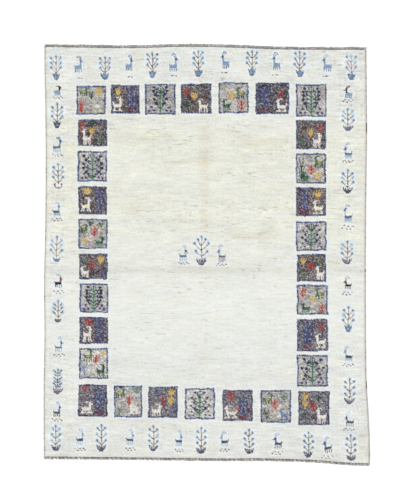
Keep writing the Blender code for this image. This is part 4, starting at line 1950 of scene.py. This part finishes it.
@dataclass
class SideCord:
    """A side cord: wool wrapped turn by turn over the outer warps.

    Some turns are of darker stray wool. The dark turns are (y on the sheet, half their run in steps).
    """

    outline: Outline
    at_left: bool
    width: float = 0.0070
    height: float = 0.0068
    wrap: float = 0.0034
    rings_a_wrap: int = 4
    sides: int = 12
    ridge: float = 0.20
    end_inset: float = 0.0015
    corner: float = 0.756
    lumpy: float = 0.05
    lift: float = 0.0002
    stray_share: float = 0.07
    dark_shade: float = 0.3
    dark_turns: tuple[tuple[float, float], ...] = ((128.0, 5.0), (385.0, 4.0))

    def build(self, wool: bpy.types.Material) -> bpy.types.Object:
        """Carry an oval along the edge, flat below, with a helical ridge for each turn of yarn.

        The phase is the count of wraps along plus the share of a turn round. The oval swells by the
        ridge times the size of the sine of pi times the phase.

        Args:
            wool: Its material.

        Returns:
            The cord.
        """
        edge = self.outline.left if self.at_left else self.outline.right
        inward = 1.0 if self.at_left else -1.0
        corner = -self.corner * inward
        top = float(self.outline.head.at(np.array(corner))) - self.end_inset
        foot = float(self.outline.foot.at(np.array(corner))) + self.end_inset
        rings = int((top - foot) / self.wrap * self.rings_a_wrap)
        y = np.linspace(top, foot, rings)
        x = edge.at(y) + inward * 0.5 * self.width
        angle = np.linspace(0, 2 * np.pi, self.sides, endpoint=False)[None, :]
        phase = y[:, None] / self.wrap + angle / (2 * np.pi)
        rng = np.random.default_rng(SEED + (3 if self.at_left else 4))
        turn = np.floor(phase).astype(int) - int(np.floor(phase.min()))
        fullness = 1 + self.lumpy * rng.normal(0, 1, turn.max() + 1)[turn]
        swell = (1 - self.ridge + self.ridge * np.abs(np.sin(np.pi * phase))) * fullness
        across = 0.5 * self.width * np.cos(angle) * swell
        up = 0.5 * self.height * (1 + np.sin(angle) * swell)
        profile = np.stack([across, np.maximum(up, self.lift)], -1)
        frames = np.tile(np.array([[1.0, 0, 0], [0, 0, 1.0]]), (rings, 1, 1))
        centres = np.stack([x, y, np.zeros(rings)], -1)
        colour = self.tones(turn, y, rng)
        place = np.stack([np.broadcast_to(angle / (2 * np.pi), phase.shape), phase + 0.5, 0 * phase], -1)
        shape = tube_shape(centres, frames, profile, colour, place)
        piece = shape.make("side_cord_left" if self.at_left else "side_cord_right", STRAND_SHARP)
        settle(piece, wool, "selvage_left" if self.at_left else "selvage_right")
        return piece

    def tones(self, turn: Array, y: Array, rng: np.random.Generator) -> Array:
        """A tone for each turn of yarn, with a few dark turns on the right cord.

        Args:
            turn: Which turn of yarn each point lies on.
            y: The place of each ring along the cord.
            rng: Where the tones come from.

        Returns:
            A colour for each point.
        """
        count = turn.max() + 1
        wool = Yarn.CORD.carded(rng.random(count))
        stray = rng.random(count) < self.stray_share
        wool[stray] = Yarn.CLAY.carded(rng.random(int(stray.sum())))
        colour = wool[turn]
        if not self.at_left:
            sheet_y = (SHEET_MIDDLE[1] - y / STEP)[:, None]
            for place, half in self.dark_turns:
                dark = np.abs(sheet_y - place) < half
                tone = Yarn.CLAY.carded(np.full(turn.shape, self.dark_shade))
                colour = np.where(dark[..., None], tone, colour)
        return colour


@dataclass
class EndBand:
    """A flat-woven end band: rows of twined weft, each of a dark and a pale strand turned together.

    Each row has its pair of wools, from the rug's edge inwards. The stations are those at which the
    band's lean and soiling are set, and a cell is how many stations, or samples, a change takes.
    """

    WOOLS: ClassVar[tuple[tuple[Yarn, Yarn], ...]] = (
        (Yarn.STONE, Yarn.TWINE),
        (Yarn.SMOKE, Yarn.TWINE),
        (Yarn.CLAY, Yarn.STONE),
    )

    outline: Outline
    at_head: bool
    width: float
    rows: int = 3
    turn: float = 0.0170
    sample: float = 0.0017
    sides: int = 6
    lean: float = 0.15
    strand: float = 0.00155
    swing: float = 0.0012
    side_inset: float = 0.0075
    stations: int = 400
    wander: float = 0.6
    wander_cell: float = 14.0
    blotch: float = 0.42
    blotch_cell: float = 2.4
    bow: float = 0.0006
    bow_cell: float = 22.0
    outer_ripple: float = 0.0008
    inner_ripple: float = 0.0002
    ripple_cell: float = 6.0
    plump: float = 0.10
    plump_cell: float = 3.0
    ply_pitch: float = 0.003
    dye_range: Point = (0.55, 1.35)

    def build(self, wool: bpy.types.Material) -> bpy.types.Object:
        """Make every strand of every row as one piece.

        Args:
            wool: Its material.

        Returns:
            The band.
        """
        rng = np.random.default_rng(SEED + (5 if self.at_head else 6))
        wander = self.wander * drift_along(self.stations, self.wander_cell, rng)
        strands = []
        for row in range(self.rows):
            soiling = 1 + self.blotch * drift_along(self.stations, self.blotch_cell, rng)
            strands += [self.strand_shape(row, half, wander, soiling, rng) for half in (0, 1)]
        name = "end_band_head" if self.at_head else "end_band_foot"
        piece = joined(strands).make(name, STRAND_SHARP)
        settle(piece, wool, "kilim_head" if self.at_head else "kilim_foot")
        return piece

    def strand_shape(
        self, row: int, half: int, wander: Array, soiling: Array, rng: np.random.Generator
    ) -> Shape:
        """One strand: a tube whose centre circles the row's line once for each turn.

        Args:
            row: The row, counted in from the rug's edge.
            half: 0 for the dark strand, 1 for the pale one, half a turn on.
            wander: Turns gained or lost along the band, alike in all rows, so its strokes lean.
            soiling: How much light the wool keeps along the row, alike in both of its strands.
            rng: Where the unevenness comes from.

        Returns:
            The strand's shape.
        """
        edge = self.outline.head if self.at_head else self.outline.foot
        inward = -1.0 if self.at_head else 1.0
        left_end, right_end = edge.at(np.array((-0.5, 0.5)) * RUG_WIDTH)
        left = float(self.outline.left.at(left_end)) + self.side_inset
        right = float(self.outline.right.at(right_end)) - self.side_inset
        count = int((right - left) / self.sample)
        x = np.linspace(left, right, count)
        pitch = self.width / self.rows
        ripple = self.outer_ripple if row == 0 else self.inner_ripple
        uneven = self.bow * drift_along(count, self.bow_cell, rng)
        uneven += ripple * drift_along(count, self.ripple_cell, rng)
        line = edge.at(x) + inward * (row + 0.5) * pitch + uneven
        gained = np.interp(x, np.linspace(left, right, len(wander)), wander)
        phase = x / self.turn + gained + 0.5 * half + self.lean * row
        angle = 2 * np.pi * phase
        centres = np.stack(
            [x, line + self.swing * np.cos(angle), self.strand + self.swing * (1 + np.sin(angle))],
            -1,
        )
        around = np.linspace(0, 2 * np.pi, self.sides, endpoint=False)
        plump = 1 + self.plump * drift_along(count, self.plump_cell, rng)
        ring = self.strand * np.stack([np.cos(around), np.sin(around)], -1)
        profile = ring[None] * plump[:, None, None]
        frames = np.tile(np.array([[0, -1.0, 0], [0, 0, 1.0]]), (count, 1, 1))
        kept = np.interp(x, np.linspace(left, right, len(soiling)), soiling)[:, None, None]
        colour = kept * np.repeat(self.tones(row, half, phase, rng)[:, None], self.sides, axis=1)
        turns = np.broadcast_to(around / (2 * np.pi), (count, self.sides))
        along = np.broadcast_to((x / self.ply_pitch)[:, None], (count, self.sides))
        place = np.stack([turns, along, 0 * along], -1)
        return tube_shape(centres, frames, profile, colour, place)

    def tones(self, row: int, half: int, phase: Array, rng: np.random.Generator) -> Array:
        """The strand's wool, dyed anew at each half turn: the outermost row is the palest.

        Args:
            row: The row.
            half: Which of its two strands.
            phase: Turns at each ring.
            rng: Where the dyes come from.

        Returns:
            A colour for each ring.
        """
        yarn = self.WOOLS[row][half]
        turn = np.floor(2 * phase).astype(int) - int(np.floor(2 * phase.min()))
        dye = rng.uniform(*self.dye_range, turn.max() + 1)[turn]
        return yarn.carded(rng.random(len(phase))) * dye[:, None]


# The studio


@dataclass
class Studio:
    """A pale floor, an even white sky, one soft lamp and the camera straight above."""

    floor_size: float = 60.0
    floor_depth: float = 0.0004
    sky: float = 1.06
    lamp_power: float = 1.0
    lamp_spread_degrees: float = 40.0
    lamp_tilt_degrees: tuple[float, float] = (34.0, 22.0)
    lens_mm: float = 85.0
    sensor_mm: float = 36.0

    def build(self) -> None:
        """Set up the floor, the light, the view transform and the camera."""
        self.lay_floor()
        self.light()
        self.point_camera()
        bpy.context.scene.view_settings.view_transform = "Standard"

    def lay_floor(self) -> None:
        """One wide square just under the rug."""
        half = 0.5 * self.floor_size
        corners = [(-half, half), (-half, -half), (half, -half), (half, half)]
        mesh = bpy.data.meshes.new("floor")
        mesh.from_pydata([(x, y, -self.floor_depth) for x, y in corners], [], [(0, 1, 2, 3)])
        floor = bpy.data.objects.new("floor", mesh)
        bpy.context.scene.collection.objects.link(floor)
        mesh.materials.append(PaleFloor().material())

    def light(self) -> None:
        """A white sky, and a wide soft lamp from the head's left."""
        world = bpy.data.worlds.new("studio_sky")
        world.use_nodes = True
        sky = world.node_tree.nodes["Background"]
        sky.inputs["Color"].default_value = (1.0, 1.0, 1.0, 1.0)
        sky.inputs["Strength"].default_value = self.sky
        bpy.context.scene.world = world
        lamp = bpy.data.lights.new("soft_lamp", "SUN")
        lamp.energy = self.lamp_power
        lamp.angle = math.radians(self.lamp_spread_degrees)
        holder = bpy.data.objects.new("soft_lamp", lamp)
        tilt_x, tilt_y = self.lamp_tilt_degrees
        holder.rotation_euler = (-math.radians(tilt_x), -math.radians(tilt_y), 0.0)
        bpy.context.scene.collection.objects.link(holder)

    def point_camera(self) -> None:
        """Stand over the middle of the photograph, as high as its frame needs with this lens."""
        data = bpy.data.cameras.new("camera")
        data.lens = self.lens_mm
        data.sensor_width = self.sensor_mm
        camera = bpy.data.objects.new("camera", data)
        frame_height = PHOTO_STEPS[1] * STEP
        x = (0.5 * PHOTO_STEPS[0] - SHEET_MIDDLE[0]) * STEP
        y = (SHEET_MIDDLE[1] - 0.5 * PHOTO_STEPS[1]) * STEP
        rise = frame_height * self.lens_mm / self.sensor_mm
        camera.location = (x, y, Lie().pile + rise)
        bpy.context.scene.collection.objects.link(camera)
        bpy.context.scene.camera = camera


def main() -> None:
    """Build the rug from the camera to the last cord."""
    logging.basicConfig(level=logging.INFO, format="%(name)s %(message)s")
    Studio().build()
    outline = Outline()
    pile = Pile(outline, Lie())
    courses = pile.build(PileWool().material())
    cord_wool = SpunWool("cord_wool", plies=0.0, lay=1.0).material()
    band_wool = SpunWool("band_wool", plies=2.0, lay=1.0).material()
    trims = [SideCord(outline, at_left).build(cord_wool) for at_left in (True, False)]
    trims.append(EndBand(outline, at_head=True, width=0.0165).build(band_wool))
    trims.append(EndBand(outline, at_head=False, width=0.0140).build(band_wool))
    ground = WovenGround(outline, pile.chart).build(SpunWool("back_wool", plies=0.5, lay=0.0).material())
    for piece in (*courses, *trims, ground):
        triangles = sum(len(face.vertices) - 2 for face in piece.data.polygons)
        LOG.info("%s: %d triangles", piece.name, triangles)


if __name__ == "__main__":
    main()
